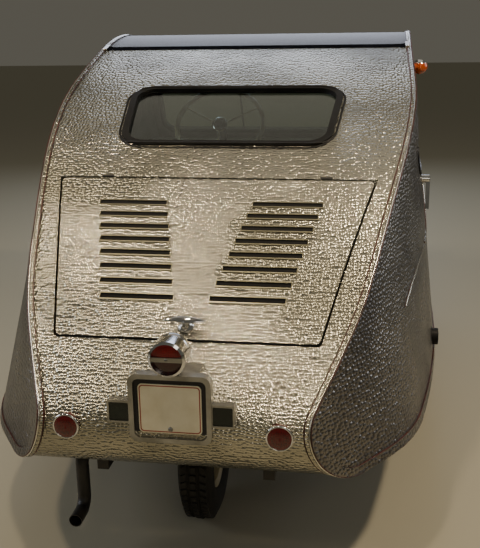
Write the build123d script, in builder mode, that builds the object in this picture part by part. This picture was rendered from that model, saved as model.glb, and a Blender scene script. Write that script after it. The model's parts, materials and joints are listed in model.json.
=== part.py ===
from build123d import *
import math
import os

os.makedirs("parts", exist_ok=True)

# Three wheeled car, in millimetres. It stands on z = 0, faces -Y, and its tail is at +Y.
# A place along the car is given as its distance forward from the tail end.
car_length = 2850
tail_end_y = car_length / 2
sill_z = 330
cantrail_z = 1330
loft_top_z = 1430

# Skins and edge mouldings.
wrap_skin = 18
side_skin = 30
moulding_proud = 4
moulding_depth = 16
shut_gap = 6
half_span = 900

# Wheels and axles.
tyre_radius = 205
tyre_width = 100
rim_radius = 112
front_axle_at = 2300
rear_axle_at = 420
front_track = 1100
kingpin_x = 460
kingpin_radius = 14
stub_radius = 12.5
running_clearance = 0.05
arch_radius = 255
arch_liner_skin = 12
arch_inner_x = 350

# Frame under the floor.
rail_x = 220
rail_width = 30
rail_height = 50
rail_rear_at = 130
rail_front_at = 2620

# Side view of the body: distance from the tail, height.
tail_lip = (90, 335)
tail_rear = (0, 452)
tail_knee = (35, 525)
tail_line_top = (180, 641)
roof_rear = (1540, 1330)
roof_crown = (1920, 1380)
screen_top = (2120, 1330)
screen_base = (2380, 890)
nose_shoulder = (2700, 740)
nose_front = (2850, 470)
nose_bottom = (2710, sill_z)

# Plan view of the body: distance from the tail, half width at the sill, half width at the cantrail.
plan_table = (
    (-50, 330, 100),
    (200, 515, 230),
    (440, 620, 365),
    (1200, 710, 590),
    (2000, 715, 620),
    (2500, 640, 545),
    (2780, 500, 430),
    (2900, 407, 370),
)

# Doors: distance from the tail and height of each corner.
door_corners = ((930, 385), (930, 1040), (1400, 1200), (1975, 1200), (1975, 385))
door_window_corners = ((975, 930), (975, 1010), (1410, 1155), (1925, 1155), (1925, 930))
door_corner_radius = 60
door_window_radius = 30

# Windows, measured along the slope of the panel that holds them.
rear_window_from = 800
rear_window_to = 1150
rear_window_half_low = 335
rear_window_half_high = 372
rear_window_corner = 85
rubber_width = 22
rubber_proud = 5
glass_skin = 5
screen_half_low = 570
screen_half_high = 560
screen_margin = 32
screen_corner = 70

# Engine hatch and its louvres.
hatch_top_at = 660
hatch_bottom_at = 170
hatch_half_top = 480
hatch_half_bottom = 345
hatch_corner = 14
louvre_count = 8
louvre_first_at = 550
louvre_last_at = 265
louvre_first_x = 226
louvre_last_x = 148
louvre_length = 202
louvre_depth = 24
louvre_height = 10
louvre_skin = 1.6

# Front axle and steering.
beam_radius = 22.5
yoke_x = 430
yoke_half_height = 48
upright_radius = 22
upright_half_height = 30
backplate_x = 486
backplate_radius = 80
arm_length = 110
arm_low_z = 182
arm_thickness = 12
arm_boss_radius = 14
tie_pin_radius = 6
tie_rod_radius = 9
tie_rod_z = 166

# Rear axle, engine and exhaust.
pivot_at = 800
pivot_z = 245
axle_radius = 10
leg_x = 110
bracket_drop = 60
hoop_z = 480
cross_member_at = (800, 1400, 2050, 2560)
cross_member_width = 40
engine_rear_at = 655
engine_front_at = 840
engine_top_z = 640
silencer_x = 300
silencer_z = 290
silencer_radius = 42
silencer_rear_at = 260
silencer_front_at = 500
pipe_bend_at = 190
pipe_end_at = 110
pipe_z = 130
pipe_radius = 18
pipe_bend_radius = 36

# Lamps, plate holder and small fittings.
lamp_x = 335
lamp_z = 640
lamp_radius = 75
lamp_front_y = 1445
lamp_back_at = 2690
lamp_back_depth = 150
tail_lamp_x = 260
tail_lamp_z = 470
tail_lamp_y = 1426
tail_lamp_radius = 32
stop_lamp_y = 1445
stop_lamp_z = 660
stop_lamp_radius = 44
stop_lamp_depth = 95
plate_face_y = 1430
plate_z = 528
plate_frame_width = 200
plate_frame_height = 175
plate_frame_depth = 26
plate_screw_span = 120
plate_screw_radius = 3
badge_x = 126
badge_z = 515
badge_size = 58
turn_lamp_at = 1600
turn_lamp_z = 1250
turn_lamp_radius = 28
turn_lamp_stand = 30
door_handle_at = 1090
door_handle_z = 900
handle_at = 205
handle_length = 105
wiper_x = -160
buffer_at = 950
buffer_z = 385
buffer_radius = 28
buffer_height = 18

# Cabin: distance from the tail and height.
bulkhead_at = 905
bulkhead_skin = 20
shelf_z = 900
shelf_rear_at = 720
dash_corners = (
    (2185, 880), (2185, 790), (2200, 760), (2214, 760), (2200, 792), (2200, 866), (2420, 866), (2420, 880)
)
seat_half = 520
seat_rear_at = 1030
seat_front_at = 1560
seat_box_z = 500
seat_top_z = 640
seat_back_corners = ((1020, 642), (866, 1000), (960, 1030), (1120, 642))
steering_x = 220
steering_hub_at = 2020
steering_hub_z = 980
column_degrees = 42
column_length = 840
column_radius = 18
shaft_radius = 9
steering_rim_radius = 200
steering_rim_section = 11
steering_spokes = 3


def car_y(from_tail):
    return tail_end_y - from_tail


def place(point):
    """Side view point: distance from the tail and height, to Y and Z."""
    return (car_y(point[0]), point[1])


# The long arc from the roof to the tail, for whatever lies on it.
roof_radius = (
    (roof_crown[0] - roof_rear[0]) ** 2 + (roof_crown[1] - roof_rear[1]) ** 2
) / (2 * (roof_crown[1] - roof_rear[1]))
roof_rear_slope = math.asin((roof_crown[0] - roof_rear[0]) / roof_radius)
back_chord = Vector(*place(tail_line_top)) - Vector(*place(roof_rear))
back_inward = Vector(-math.sin(roof_rear_slope), -math.cos(roof_rear_slope))
back_radius = back_chord.length**2 / (2 * back_chord.dot(back_inward))
back_centre = Vector(*place(roof_rear)) + back_inward * back_radius


def back_plane(from_tail):
    """Plane on the sloping back: local x across the car, local y down the slope."""
    run = car_y(from_tail) - back_centre.X
    height = back_centre.Y + math.sqrt(back_radius**2 - run**2)
    slope = math.asin(run / back_radius)
    return Plane(
        origin=(0, car_y(from_tail), height),
        x_dir=(1, 0, 0),
        z_dir=(0, math.sin(slope), math.cos(slope)),
    )


def side_profile(grow=0):
    """Side view of the body as a face in the YZ plane, grown by a distance."""
    with BuildSketch(Plane.YZ) as sketch:
        with BuildLine():
            crown = place(roof_crown)
            roof = TangentArc(crown, place(roof_rear), tangent=(1, 0))
            back = TangentArc(roof @ 1, place(tail_line_top), tangent=roof % 1)
            tail = Line(back @ 1, place(tail_knee))
            knee = TangentArc(tail @ 1, place(tail_rear), tangent=tail % 1)
            under = TangentArc(knee @ 1, place(tail_lip), tangent=knee % 1)
            lip = Line(under @ 1, (car_y(tail_lip[0] + 20), sill_z))
            Line(lip @ 1, place(nose_bottom))
            chin = TangentArc(place(nose_bottom), place(nose_front), tangent=(-1, 0))
            nose = TangentArc(chin @ 1, place(nose_shoulder), tangent=chin % 1)
            bonnet = TangentArc(nose @ 1, place(screen_base), tangent=nose % 1)
            Line(bonnet @ 1, place(screen_top))
            TangentArc(crown, place(screen_top), tangent=(-1, 0))
        make_face()
        if grow:
            offset(amount=grow, kind=Kind.INTERSECTION)
    return sketch.sketch


def plan_outline(level, grow=0):
    """Plan view of the body at a height, each side moved out by a distance."""
    blend = (level - sill_z) / (cantrail_z - sill_z)
    points = [(low + blend * (high - low) + grow, car_y(at)) for at, low, high in plan_table]
    with BuildSketch(Plane.XY.offset(level)) as sketch:
        with BuildLine():
            Line((0, points[0][1]), points[0])
            run = Line(points[0], points[1])
            for start, end in zip(points[1:-2], points[2:-1]):
                run = TangentArc(start, end, tangent=run % 1)
            Line(points[-2], points[-1])
            Line(points[-1], (0, points[-1][1]))
            mirror(about=Plane.YZ)
        make_face()
    return sketch.sketch


def plan_solid(grow=0):
    """Body's plan shape from the sill to above the roof, with leaning sides."""
    with BuildPart() as solid:
        loft([plan_outline(sill_z - 30, grow), plan_outline(loft_top_z, grow)], ruled=True)
    return solid.part


def profile_solid(grow=0):
    """Body's side view as a solid across the car."""
    with BuildPart() as solid:
        extrude(side_profile(grow), amount=half_span, both=True)
    return solid.part


def side_shape(corners, radius, grow=0):
    """Rounded shape in the side view, as a solid across the car."""
    with BuildPart() as solid:
        with BuildSketch(Plane.YZ) as sketch:
            with BuildLine():
                Polyline(*[place(corner) for corner in corners], close=True)
            make_face()
            if grow:
                offset(amount=grow, kind=Kind.INTERSECTION)
            fillet(sketch.vertices(), radius)
        extrude(amount=half_span, both=True)
    return solid.part


def slope_shape(plane, half_low, half_high, run, radius, grow=0, depth=60):
    """Rounded trapezium on a sloping panel, low edge down the slope, as a solid through it."""
    with BuildPart() as solid:
        with BuildSketch(plane) as sketch:
            with BuildLine():
                Polyline(
                    (-half_high, -run / 2),
                    (half_high, -run / 2),
                    (half_low, run / 2),
                    (-half_low, run / 2),
                    close=True,
                )
            make_face()
            fillet(sketch.vertices(), radius)
            if grow:
                offset(amount=grow)
        extrude(amount=depth, both=True)
    return solid.part


def plan_band(from_tail, to_tail, half=half_span):
    """Upright block between two distances from the tail."""
    with BuildPart() as solid:
        with BuildSketch():
            with Locations((0, car_y((from_tail + to_tail) / 2))):
                Rectangle(2 * half, to_tail - from_tail)
        extrude(amount=loft_top_z + 100)
    return solid.part


# Shapes that the panels share.
outer_profile = profile_solid()
inner_profile = profile_solid(-wrap_skin)
proud_profile = profile_solid(moulding_proud)
outer_plan = plan_solid()
wrap_plan = plan_solid(-moulding_depth)
inner_plan = plan_solid(-side_skin)
proud_plan = plan_solid(moulding_proud)

rear_window_middle = (rear_window_from + rear_window_to) / 2
rear_window_plane = back_plane(rear_window_middle)
rear_window_run = (rear_window_to - rear_window_from) / rear_window_plane.z_dir.Z
rear_window_size = (rear_window_half_low, rear_window_half_high, rear_window_run, rear_window_corner)

screen_rise = screen_top[1] - screen_base[1]
screen_reach = screen_base[0] - screen_top[0]
screen_length = math.hypot(screen_rise, screen_reach)
screen_plane = Plane(
    origin=(0, car_y((screen_top[0] + screen_base[0]) / 2), (screen_top[1] + screen_base[1]) / 2),
    x_dir=(-1, 0, 0),
    z_dir=(0, -screen_rise, screen_reach),
)
screen_size = (screen_half_low, screen_half_high, screen_length - 2 * screen_margin, screen_corner)

hatch_taper = (hatch_half_top - hatch_half_bottom) / (hatch_top_at - hatch_bottom_at)


def hatch_shape(grow=0, reach=0):
    """Upright solid with the hatch's outline, its top edge moved forward by a reach."""
    top_half = hatch_half_top + hatch_taper * reach
    top_y = car_y(hatch_top_at + reach)
    bottom_y = car_y(hatch_bottom_at)
    with BuildPart() as solid:
        with BuildSketch() as sketch:
            with BuildLine():
                Polyline(
                    (-top_half, top_y),
                    (top_half, top_y),
                    (hatch_half_bottom, bottom_y),
                    (-hatch_half_bottom, bottom_y),
                    close=True,
                )
            make_face()
            if grow:
                offset(amount=grow, kind=Kind.INTERSECTION)
            fillet(sketch.vertices(), hatch_corner)
        extrude(amount=loft_top_z)
    return solid.part


def finish(node, part):
    """Label a piece and write its file."""
    part.label = node
    export_step(part, f"parts/{node}.step")
    print(node, len(part.solids()), round(part.volume / 1000), "cm3")


def slab(x_span, y_span, z_span):
    """Square block between three pairs of coordinates."""
    with BuildPart() as block:
        with BuildSketch(Plane.XY.offset(z_span[0])):
            with Locations((sum(x_span) / 2, sum(y_span) / 2)):
                Rectangle(x_span[1] - x_span[0], y_span[1] - y_span[0])
        extrude(amount=z_span[1] - z_span[0])
    return block.part


def cross_bar(x_span, y, z, radius):
    """Round bar across the car."""
    with BuildPart() as bar:
        with BuildSketch(Plane.YZ.offset(x_span[0])):
            with Locations((y, z)):
                Circle(radius)
        extrude(amount=x_span[1] - x_span[0])
    return bar.part


def tube_between(start, end, radius):
    """Round bar between two points."""
    run = Vector(*end) - Vector(*start)
    with BuildPart() as bar:
        with BuildSketch(Plane(origin=start, z_dir=run)):
            Circle(radius)
        extrude(amount=run.length)
    return bar.part


def side_surface(from_tail, height, side=1):
    """Point of the side wall's outer face at a distance from the tail and a height."""
    line = Axis((0, car_y(from_tail), height), (side, 0, 0))
    return max((hit[0] for hit in outer_plan.find_intersection_points(line)), key=lambda p: side * p.X)


both_sides = ((1, "left"), (-1, "right"))
front_axle_y = car_y(front_axle_at)
rear_axle_y = car_y(rear_axle_at)
inside_low_z = sill_z + wrap_skin

# Wrap: the skin that runs over the nose, the roof and the tail.
with BuildPart() as wrap:
    add(outer_profile)
    add(inner_profile, mode=Mode.SUBTRACT)
    add(wrap_plan, mode=Mode.INTERSECT)

with BuildPart() as nose_panel:
    add(wrap.part)
    add(plan_band(screen_top[0], car_length + 10), mode=Mode.INTERSECT)
    add(
        slab((-half_span, half_span), (car_y(nose_bottom[0]), 0), (0, inside_low_z)),
        mode=Mode.SUBTRACT,
    )
    add(slope_shape(screen_plane, *screen_size), mode=Mode.SUBTRACT)
    for side, name in both_sides:
        with BuildSketch(Plane.XZ.offset(-car_y(lamp_back_at))):
            with Locations((side * lamp_x, lamp_z)):
                Circle(lamp_radius)
        extrude(amount=400, mode=Mode.SUBTRACT)
finish("nose_panel", nose_panel.part)

with BuildPart() as roof_panel:
    add(wrap.part)
    add(
        slab(
            (-half_span, half_span),
            (car_y(screen_top[0]), car_y(roof_rear[0])),
            (cantrail_z - 100, loft_top_z),
        ),
        mode=Mode.INTERSECT,
    )
finish("roof_panel", roof_panel.part)

with BuildPart() as upper_tail_panel:
    add(wrap.part)
    add(
        slab(
            (-half_span, half_span),
            (car_y(roof_rear[0]), car_y(hatch_top_at)),
            (sill_z + 100, loft_top_z),
        ),
        mode=Mode.INTERSECT,
    )
    add(slope_shape(rear_window_plane, *rear_window_size), mode=Mode.SUBTRACT)
finish("upper_tail_panel", upper_tail_panel.part)

# The tail below the seam, with the hatch's opening and a lip turned under the body.
with BuildPart() as lower_tail_panel:
    add(wrap.part)
    add(plan_band(-10, hatch_top_at), mode=Mode.INTERSECT)
    add(
        slab(
            (-half_span, half_span),
            (car_y(hatch_top_at), car_y(rail_rear_at)),
            (0, inside_low_z),
        ),
        mode=Mode.SUBTRACT,
    )
    add(hatch_shape(reach=60), mode=Mode.SUBTRACT)
    with BuildSketch(Plane.XZ.offset(-tail_lamp_y - 50)):
        with Locations((0, tail_lamp_z)):
            with GridLocations(2 * tail_lamp_x, 0, 2, 1):
                Circle(tail_lamp_radius - 3)
    extrude(amount=100, mode=Mode.SUBTRACT)
finish("lower_tail_panel", lower_tail_panel.part)

with BuildPart() as hatch:
    add(wrap.part)
    add(hatch_shape(-shut_gap), mode=Mode.INTERSECT)
    add(
        slab((-half_span, half_span), (-car_length, car_length), (tail_rear[1], loft_top_z)),
        mode=Mode.INTERSECT,
    )
    for step in range(louvre_count):
        along = step / (louvre_count - 1)
        louvre_at = louvre_first_at + along * (louvre_last_at - louvre_first_at)
        louvre_x = louvre_first_x + along * (louvre_last_x - louvre_first_x)
        skin = back_plane(louvre_at)
        for side, name in both_sides:
            hood_end = Plane(
                origin=skin.from_local_coords((side * louvre_x - louvre_length / 2, 0, 0)),
                x_dir=skin.y_dir,
                z_dir=(1, 0, 0),
            )
            with BuildSketch(hood_end):
                with BuildLine():
                    ThreePointArc(
                        (-louvre_depth, -1),
                        (-louvre_depth / 3, -louvre_height * 0.72),
                        (0, -louvre_height),
                    )
                    Polyline((0, -louvre_height), (0, 2), (-louvre_depth, 2), (-louvre_depth, -1))
                make_face()
            extrude(amount=louvre_length)
            with BuildSketch(hood_end.offset(louvre_skin)):
                with BuildLine():
                    ThreePointArc(
                        (-louvre_depth + 4, -1),
                        (-louvre_depth / 3, -louvre_height * 0.72 + louvre_skin),
                        (0, -louvre_height + louvre_skin),
                    )
                    Polyline(
                        (0, -louvre_height + louvre_skin),
                        (1, -louvre_height + louvre_skin),
                        (1, -0.5),
                        (-4, 0),
                        (-4, wrap_skin + 8),
                        (-louvre_depth + 4, wrap_skin + 8),
                        (-louvre_depth + 4, -1),
                    )
                make_face()
            extrude(amount=louvre_length - 2 * louvre_skin, mode=Mode.SUBTRACT)
finish("engine_hatch", hatch.part)

# Side walls, with the doorway and the front wheel's arch cut out.
with BuildPart() as side_walls:
    add(outer_plan)
    add(inner_plan, mode=Mode.SUBTRACT)
    add(inner_profile, mode=Mode.INTERSECT)
doorway = side_shape(door_corners, door_corner_radius)
door_outline = side_shape(door_corners, door_corner_radius, -shut_gap)
door_window = side_shape(door_window_corners, door_window_radius)
arch = cross_bar((-half_span, half_span), front_axle_y, tyre_radius, arch_radius)

with BuildPart() as door_glass_layer:
    add(plan_solid(-12))
    add(plan_solid(-12 - glass_skin), mode=Mode.SUBTRACT)
    add(door_window, mode=Mode.INTERSECT)

for side, name in both_sides:
    half_space = slab(
        (0, half_span) if side > 0 else (-half_span, 0),
        (-car_length, car_length),
        (0, loft_top_z),
    )
    with BuildPart() as side_panel:
        add(side_walls.part)
        add(half_space, mode=Mode.INTERSECT)
        add(doorway, mode=Mode.SUBTRACT)
        add(arch, mode=Mode.SUBTRACT)
    finish(f"side_panel_{name}", side_panel.part)

    with BuildPart() as door:
        add(side_walls.part)
        add(half_space, mode=Mode.INTERSECT)
        add(door_outline, mode=Mode.INTERSECT)
        add(door_window, mode=Mode.SUBTRACT)
    finish(f"door_{name}", door.part)

    with BuildPart() as door_glass:
        add(door_glass_layer.part)
        add(half_space, mode=Mode.INTERSECT)
    finish(f"door_glass_{name}", door_glass.part)

    door_handle_x = abs(side_surface(door_handle_at, door_handle_z, side).X)
    with BuildPart() as door_handle:
        with BuildSketch(Plane.YZ.offset(side * (door_handle_x - 2))):
            with Locations((car_y(door_handle_at), door_handle_z)):
                Circle(14)
        extrude(amount=side * 26)
        with BuildSketch(Plane.YZ.offset(side * (door_handle_x + 14))):
            with BuildLine():
                Polyline(
                    (car_y(door_handle_at) - 10, door_handle_z + 10),
                    (car_y(door_handle_at) + 10, door_handle_z + 10),
                    (car_y(door_handle_at) + 20, door_handle_z - 100),
                    (car_y(door_handle_at) + 6, door_handle_z - 104),
                    close=True,
                )
            make_face()
        extrude(amount=side * 12)
        add(outer_plan, mode=Mode.SUBTRACT)
    finish(f"door_handle_{name}", door_handle.part)

with BuildPart() as mouldings:
    add(proud_profile)
    add(inner_profile, mode=Mode.SUBTRACT)
    with BuildPart(mode=Mode.PRIVATE) as moulding_sides:
        add(proud_plan)
        add(wrap_plan, mode=Mode.SUBTRACT)
    add(moulding_sides.part, mode=Mode.INTERSECT)
    add(arch, mode=Mode.SUBTRACT)
finish("edge_mouldings", mouldings.part)

# Floor, with the wells of the front wheels cut out, and the liners that close the wells.
well = cross_bar(
    (arch_inner_x - arch_liner_skin, half_span), front_axle_y, tyre_radius, arch_radius + arch_liner_skin
)
well_space = cross_bar((arch_inner_x, half_span), front_axle_y, tyre_radius, arch_radius)
with BuildPart() as floor_pan:
    add(wrap_plan)
    add(
        slab(
            (-half_span, half_span),
            (car_y(nose_bottom[0]), car_y(bulkhead_at - bulkhead_skin)),
            (sill_z, inside_low_z),
        ),
        mode=Mode.INTERSECT,
    )
    add(well, mode=Mode.SUBTRACT)
    add(mirror(well, about=Plane.YZ), mode=Mode.SUBTRACT)
finish("floor_pan", floor_pan.part)

with BuildPart() as arch_liners:
    add(well)
    add(well_space, mode=Mode.SUBTRACT)
    add(inner_plan, mode=Mode.INTERSECT)
    add(slab((-half_span, half_span), (-car_length, car_length), (0, sill_z)), mode=Mode.SUBTRACT)
    mirror(about=Plane.YZ)
finish("arch_liners", arch_liners.part)

# Bulkhead between the cabin and the engine bay, with the shelf under the rear window and the seat box.
with BuildPart() as bulkhead:
    with BuildSketch(Plane.YZ) as bulkhead_side:
        with BuildLine():
            Polyline(
                (car_y(bulkhead_at), inside_low_z),
                (car_y(bulkhead_at), shelf_z),
                (car_y(shelf_rear_at), shelf_z),
                (car_y(shelf_rear_at), loft_top_z),
                (car_y(shelf_rear_at - bulkhead_skin), loft_top_z),
                (car_y(shelf_rear_at - bulkhead_skin), shelf_z - bulkhead_skin),
                (car_y(bulkhead_at - bulkhead_skin), shelf_z - bulkhead_skin),
                (car_y(bulkhead_at - bulkhead_skin), inside_low_z),
                close=True,
            )
        make_face()
    extrude(amount=half_span, both=True)
    add(inner_plan, mode=Mode.INTERSECT)
    add(inner_profile, mode=Mode.INTERSECT)
    with BuildSketch(Plane.XY.offset(inside_low_z)):
        with Locations((0, car_y((seat_front_at + bulkhead_at) / 2))):
            Rectangle(2 * seat_half - 20, seat_front_at - bulkhead_at)
            Rectangle(
                2 * seat_half - 20 - 2 * bulkhead_skin,
                seat_front_at - bulkhead_at - 2 * bulkhead_skin,
                mode=Mode.SUBTRACT,
            )
    extrude(amount=seat_box_z - inside_low_z)
finish("engine_bulkhead", bulkhead.part)

# Frame: two rails under the floor, cross members and the brackets of the axles.
frame_low_z = sill_z - rail_height
with BuildPart() as frame:
    with BuildSketch(Plane.XY.offset(frame_low_z)):
        with Locations((0, car_y((rail_rear_at + rail_front_at) / 2))):
            with GridLocations(2 * rail_x, 0, 2, 1):
                Rectangle(rail_width, rail_front_at - rail_rear_at)
        for at in cross_member_at:
            with Locations((0, car_y(at))):
                Rectangle(2 * rail_x, cross_member_width)
    extrude(amount=rail_height)
    with BuildSketch(Plane.XY.offset(frame_low_z)):
        for at in (front_axle_at, pivot_at):
            with Locations((0, car_y(at))):
                with GridLocations(2 * rail_x, 0, 2, 1):
                    Rectangle(rail_width, 60)
    extrude(amount=-bracket_drop)
    with BuildSketch(Plane.XY.offset(sill_z)):
        with Locations((0, rear_axle_y)):
            with GridLocations(2 * rail_x, 0, 2, 1):
                Rectangle(rail_width, 40)
    extrude(amount=hoop_z - sill_z)
    with BuildSketch(Plane.XY.offset(hoop_z)):
        with Locations((0, rear_axle_y)):
            Rectangle(2 * rail_x + rail_width, 40)
    extrude(amount=30)
    add(cross_bar((-half_span, half_span), front_axle_y, tyre_radius, beam_radius), mode=Mode.SUBTRACT)
finish("chassis_frame", frame.part)

# Front axle beam with a forked end for each kingpin.
with BuildPart() as front_axle:
    add(cross_bar((-yoke_x, yoke_x), front_axle_y, tyre_radius, beam_radius))
    for side, name in both_sides:
        with BuildSketch(Plane.XY.offset(tyre_radius - yoke_half_height)):
            with Locations((side * (yoke_x - 12), front_axle_y)):
                Rectangle(24, 2 * upright_radius)
        extrude(amount=2 * yoke_half_height)
        for lug_z in (tyre_radius - yoke_half_height, tyre_radius + upright_half_height + 1):
            with BuildSketch(Plane.XY.offset(lug_z)):
                with Locations((side * kingpin_x, front_axle_y)):
                    Circle(upright_radius)
                with Locations((side * (kingpin_x + yoke_x) / 2, front_axle_y)):
                    Rectangle(kingpin_x - yoke_x, 2 * upright_radius)
            extrude(amount=yoke_half_height - upright_half_height - 1)
        with BuildSketch(Plane.XY.offset(tyre_radius - yoke_half_height)):
            with Locations((side * kingpin_x, front_axle_y)):
                Circle(kingpin_radius)
        extrude(amount=2 * yoke_half_height)
finish("front_axle", front_axle.part)

for side, name in both_sides:
    with BuildPart() as knuckle:
        with BuildSketch(Plane.XY.offset(tyre_radius - upright_half_height)):
            with Locations((side * kingpin_x, front_axle_y)):
                Circle(upright_radius)
        extrude(amount=2 * upright_half_height)
        with BuildSketch(Plane.YZ.offset(side * kingpin_x)):
            with Locations((front_axle_y, tyre_radius)):
                Circle(stub_radius)
        extrude(amount=side * (front_track / 2 + 33 - kingpin_x))
        with BuildSketch(Plane.YZ.offset(side * backplate_x)):
            with Locations((front_axle_y, tyre_radius)):
                Circle(backplate_radius)
        extrude(amount=side * 6)
        with BuildSketch(Plane.XY.offset(arm_low_z)):
            with Locations((side * kingpin_x, front_axle_y + arm_length / 2)):
                Rectangle(18, arm_length)
            with Locations((side * kingpin_x, front_axle_y + arm_length)):
                Circle(arm_boss_radius)
        extrude(amount=arm_thickness)
        with BuildSketch(Plane.XY.offset(tyre_radius - yoke_half_height)):
            with Locations((side * kingpin_x, front_axle_y)):
                Circle(kingpin_radius + running_clearance)
            with Locations((side * kingpin_x, front_axle_y + arm_length)):
                Circle(tie_pin_radius + running_clearance)
        extrude(amount=2 * yoke_half_height, mode=Mode.SUBTRACT)
    finish(f"knuckle_{name}", knuckle.part)

with BuildPart() as tie_rod:
    add(cross_bar((-kingpin_x, kingpin_x), front_axle_y + arm_length, tie_rod_z, tie_rod_radius))
    with BuildSketch(Plane.XY.offset(tie_rod_z)):
        with Locations((0, front_axle_y + arm_length)):
            with GridLocations(2 * kingpin_x, 0, 2, 1):
                Circle(tie_pin_radius)
    extrude(amount=arm_low_z + arm_thickness - tie_rod_z)
finish("tie_rod", tie_rod.part)


def wheel_plane(centre_x, y, side):
    """Plane through a wheel's axle: local x outwards along the axle, local y up."""
    return Plane(origin=(centre_x, y, tyre_radius), x_dir=(side, 0, 0), z_dir=(0, -side, 0))


def make_rim(centre_x, y, side, bore, capped):
    """Pressed steel wheel: barrel, dished disc and hub, about its axle."""
    hub_end = ((38, 0), (34, 0), (34, bore)) if capped else ((48, 28), (48, bore))
    with BuildPart() as rim:
        with BuildSketch(wheel_plane(centre_x, y, side)):
            with BuildLine():
                Polyline(
                    (-46, bore),
                    (-46, 28),
                    (10, 28),
                    (14, 36),
                    (14, 68),
                    (6, 95),
                    (-31, 99),
                    (-38, 109),
                    (-38, 114),
                    (-33, 114),
                    (-29, 104),
                    (29, 104),
                    (33, 114),
                    (38, 114),
                    (38, 109),
                    (31, 99),
                    (12, 95),
                    (20, 70),
                    (20, 40),
                    (30, 28),
                    *hub_end,
                    close=True,
                )
            make_face()
        revolve(axis=Axis((centre_x, y, tyre_radius), (1, 0, 0)))
    return rim.part


def make_tyre(centre_x, y, side):
    """Tyre seated on the rim's barrel."""
    with BuildPart() as tyre:
        with BuildSketch(wheel_plane(centre_x, y, side)):
            with BuildLine():
                Polyline((-33, 114), (-29, 104), (29, 104), (33, 114))
                ThreePointArc((33, 114), (tyre_width / 2, 155), (40, 192))
                ThreePointArc((40, 192), (0, tyre_radius), (-40, 192))
                ThreePointArc((-40, 192), (-tyre_width / 2, 155), (-33, 114))
            make_face()
        revolve(axis=Axis((centre_x, y, tyre_radius), (1, 0, 0)))
    return tyre.part


for side, name in both_sides:
    wheel_x = side * front_track / 2
    finish(f"rim_{name}", make_rim(wheel_x, front_axle_y, side, stub_radius + running_clearance, True))
    finish(f"tyre_{name}", make_tyre(wheel_x, front_axle_y, side))
finish("rim_rear", make_rim(0, rear_axle_y, 1, axle_radius + running_clearance, False))
finish("tyre_rear", make_tyre(0, rear_axle_y, 1))

# Rear swinging arm: pivot tube, two legs, the axle and a strut to the hoop on each side.
pivot_y = car_y(pivot_at)
with BuildPart() as swing_arm:
    add(cross_bar((rail_width / 2 - rail_x, rail_x - rail_width / 2), pivot_y, pivot_z, 20))
    add(cross_bar((-leg_x, leg_x), rear_axle_y, tyre_radius, axle_radius))
    for side, name in both_sides:
        add(tube_between((side * leg_x, pivot_y, pivot_z), (side * leg_x, rear_axle_y, tyre_radius), 16))
        add(cross_bar((side * leg_x - 16, side * leg_x + 16), rear_axle_y, tyre_radius, 24))
        with BuildSketch(Plane.XY.offset(tyre_radius + 16)):
            with Locations((side * leg_x, rear_axle_y)):
                Circle(20)
        extrude(amount=hoop_z - tyre_radius - 16)
finish("swing_arm", swing_arm.part)

finish(
    "engine_block",
    slab((-150, 150), (car_y(engine_front_at), car_y(engine_rear_at)), (sill_z, engine_top_z)),
)

# Silencer under the tail, its strap to the rail and its tail pipe.
with BuildPart() as silencer:
    with BuildSketch(Plane.XZ.offset(-car_y(silencer_front_at))):
        with Locations((silencer_x, silencer_z)):
            Circle(silencer_radius)
    extrude(amount=-(silencer_front_at - silencer_rear_at))
    add(
        slab(
            (rail_x + rail_width / 2, silencer_x - silencer_radius + 10),
            (car_y(silencer_front_at - 60), car_y(silencer_front_at - 90)),
            (frame_low_z, sill_z),
        )
    )
    with BuildLine() as pipe_route:
        FilletPolyline(
            (silencer_x, car_y(silencer_rear_at + 10), silencer_z),
            (silencer_x, car_y(pipe_bend_at), silencer_z),
            (silencer_x, car_y(pipe_bend_at), pipe_z),
            (silencer_x, car_y(pipe_end_at), pipe_z),
            radius=pipe_bend_radius,
        )
    with BuildSketch(Plane(origin=pipe_route.line @ 0, z_dir=pipe_route.line % 0)):
        Circle(pipe_radius)
    sweep()
    with BuildSketch(Plane.XZ.offset(-car_y(pipe_end_at))):
        with Locations((silencer_x, pipe_z)):
            Circle(pipe_radius - 2)
    extrude(amount=40, mode=Mode.SUBTRACT)
finish("silencer", silencer.part)

# Glass and the rubbers that hold it.
with BuildPart() as glass_layer:
    add(profile_solid(-8))
    add(profile_solid(-8 - glass_skin), mode=Mode.SUBTRACT)
with BuildPart() as rubber_layer:
    add(profile_solid(rubber_proud))
    add(inner_profile, mode=Mode.SUBTRACT)

with BuildPart() as rear_window:
    add(glass_layer.part)
    add(slope_shape(rear_window_plane, *rear_window_size, grow=-rubber_width), mode=Mode.INTERSECT)
finish("rear_window", rear_window.part)

with BuildPart() as windscreen:
    add(glass_layer.part)
    add(slope_shape(screen_plane, *screen_size, grow=-rubber_width), mode=Mode.INTERSECT)
finish("windscreen", windscreen.part)

with BuildPart() as window_rubbers:
    with BuildPart(mode=Mode.PRIVATE) as rubber_shapes:
        add(slope_shape(rear_window_plane, *rear_window_size))
        add(
            slope_shape(rear_window_plane, *rear_window_size, grow=-rubber_width, depth=90),
            mode=Mode.SUBTRACT,
        )
        add(slope_shape(screen_plane, *screen_size))
        add(
            slope_shape(screen_plane, *screen_size, grow=-rubber_width, depth=90),
            mode=Mode.SUBTRACT,
        )
    add(rubber_layer.part)
    add(rubber_shapes.part, mode=Mode.INTERSECT)
finish("window_rubbers", window_rubbers.part)

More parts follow.
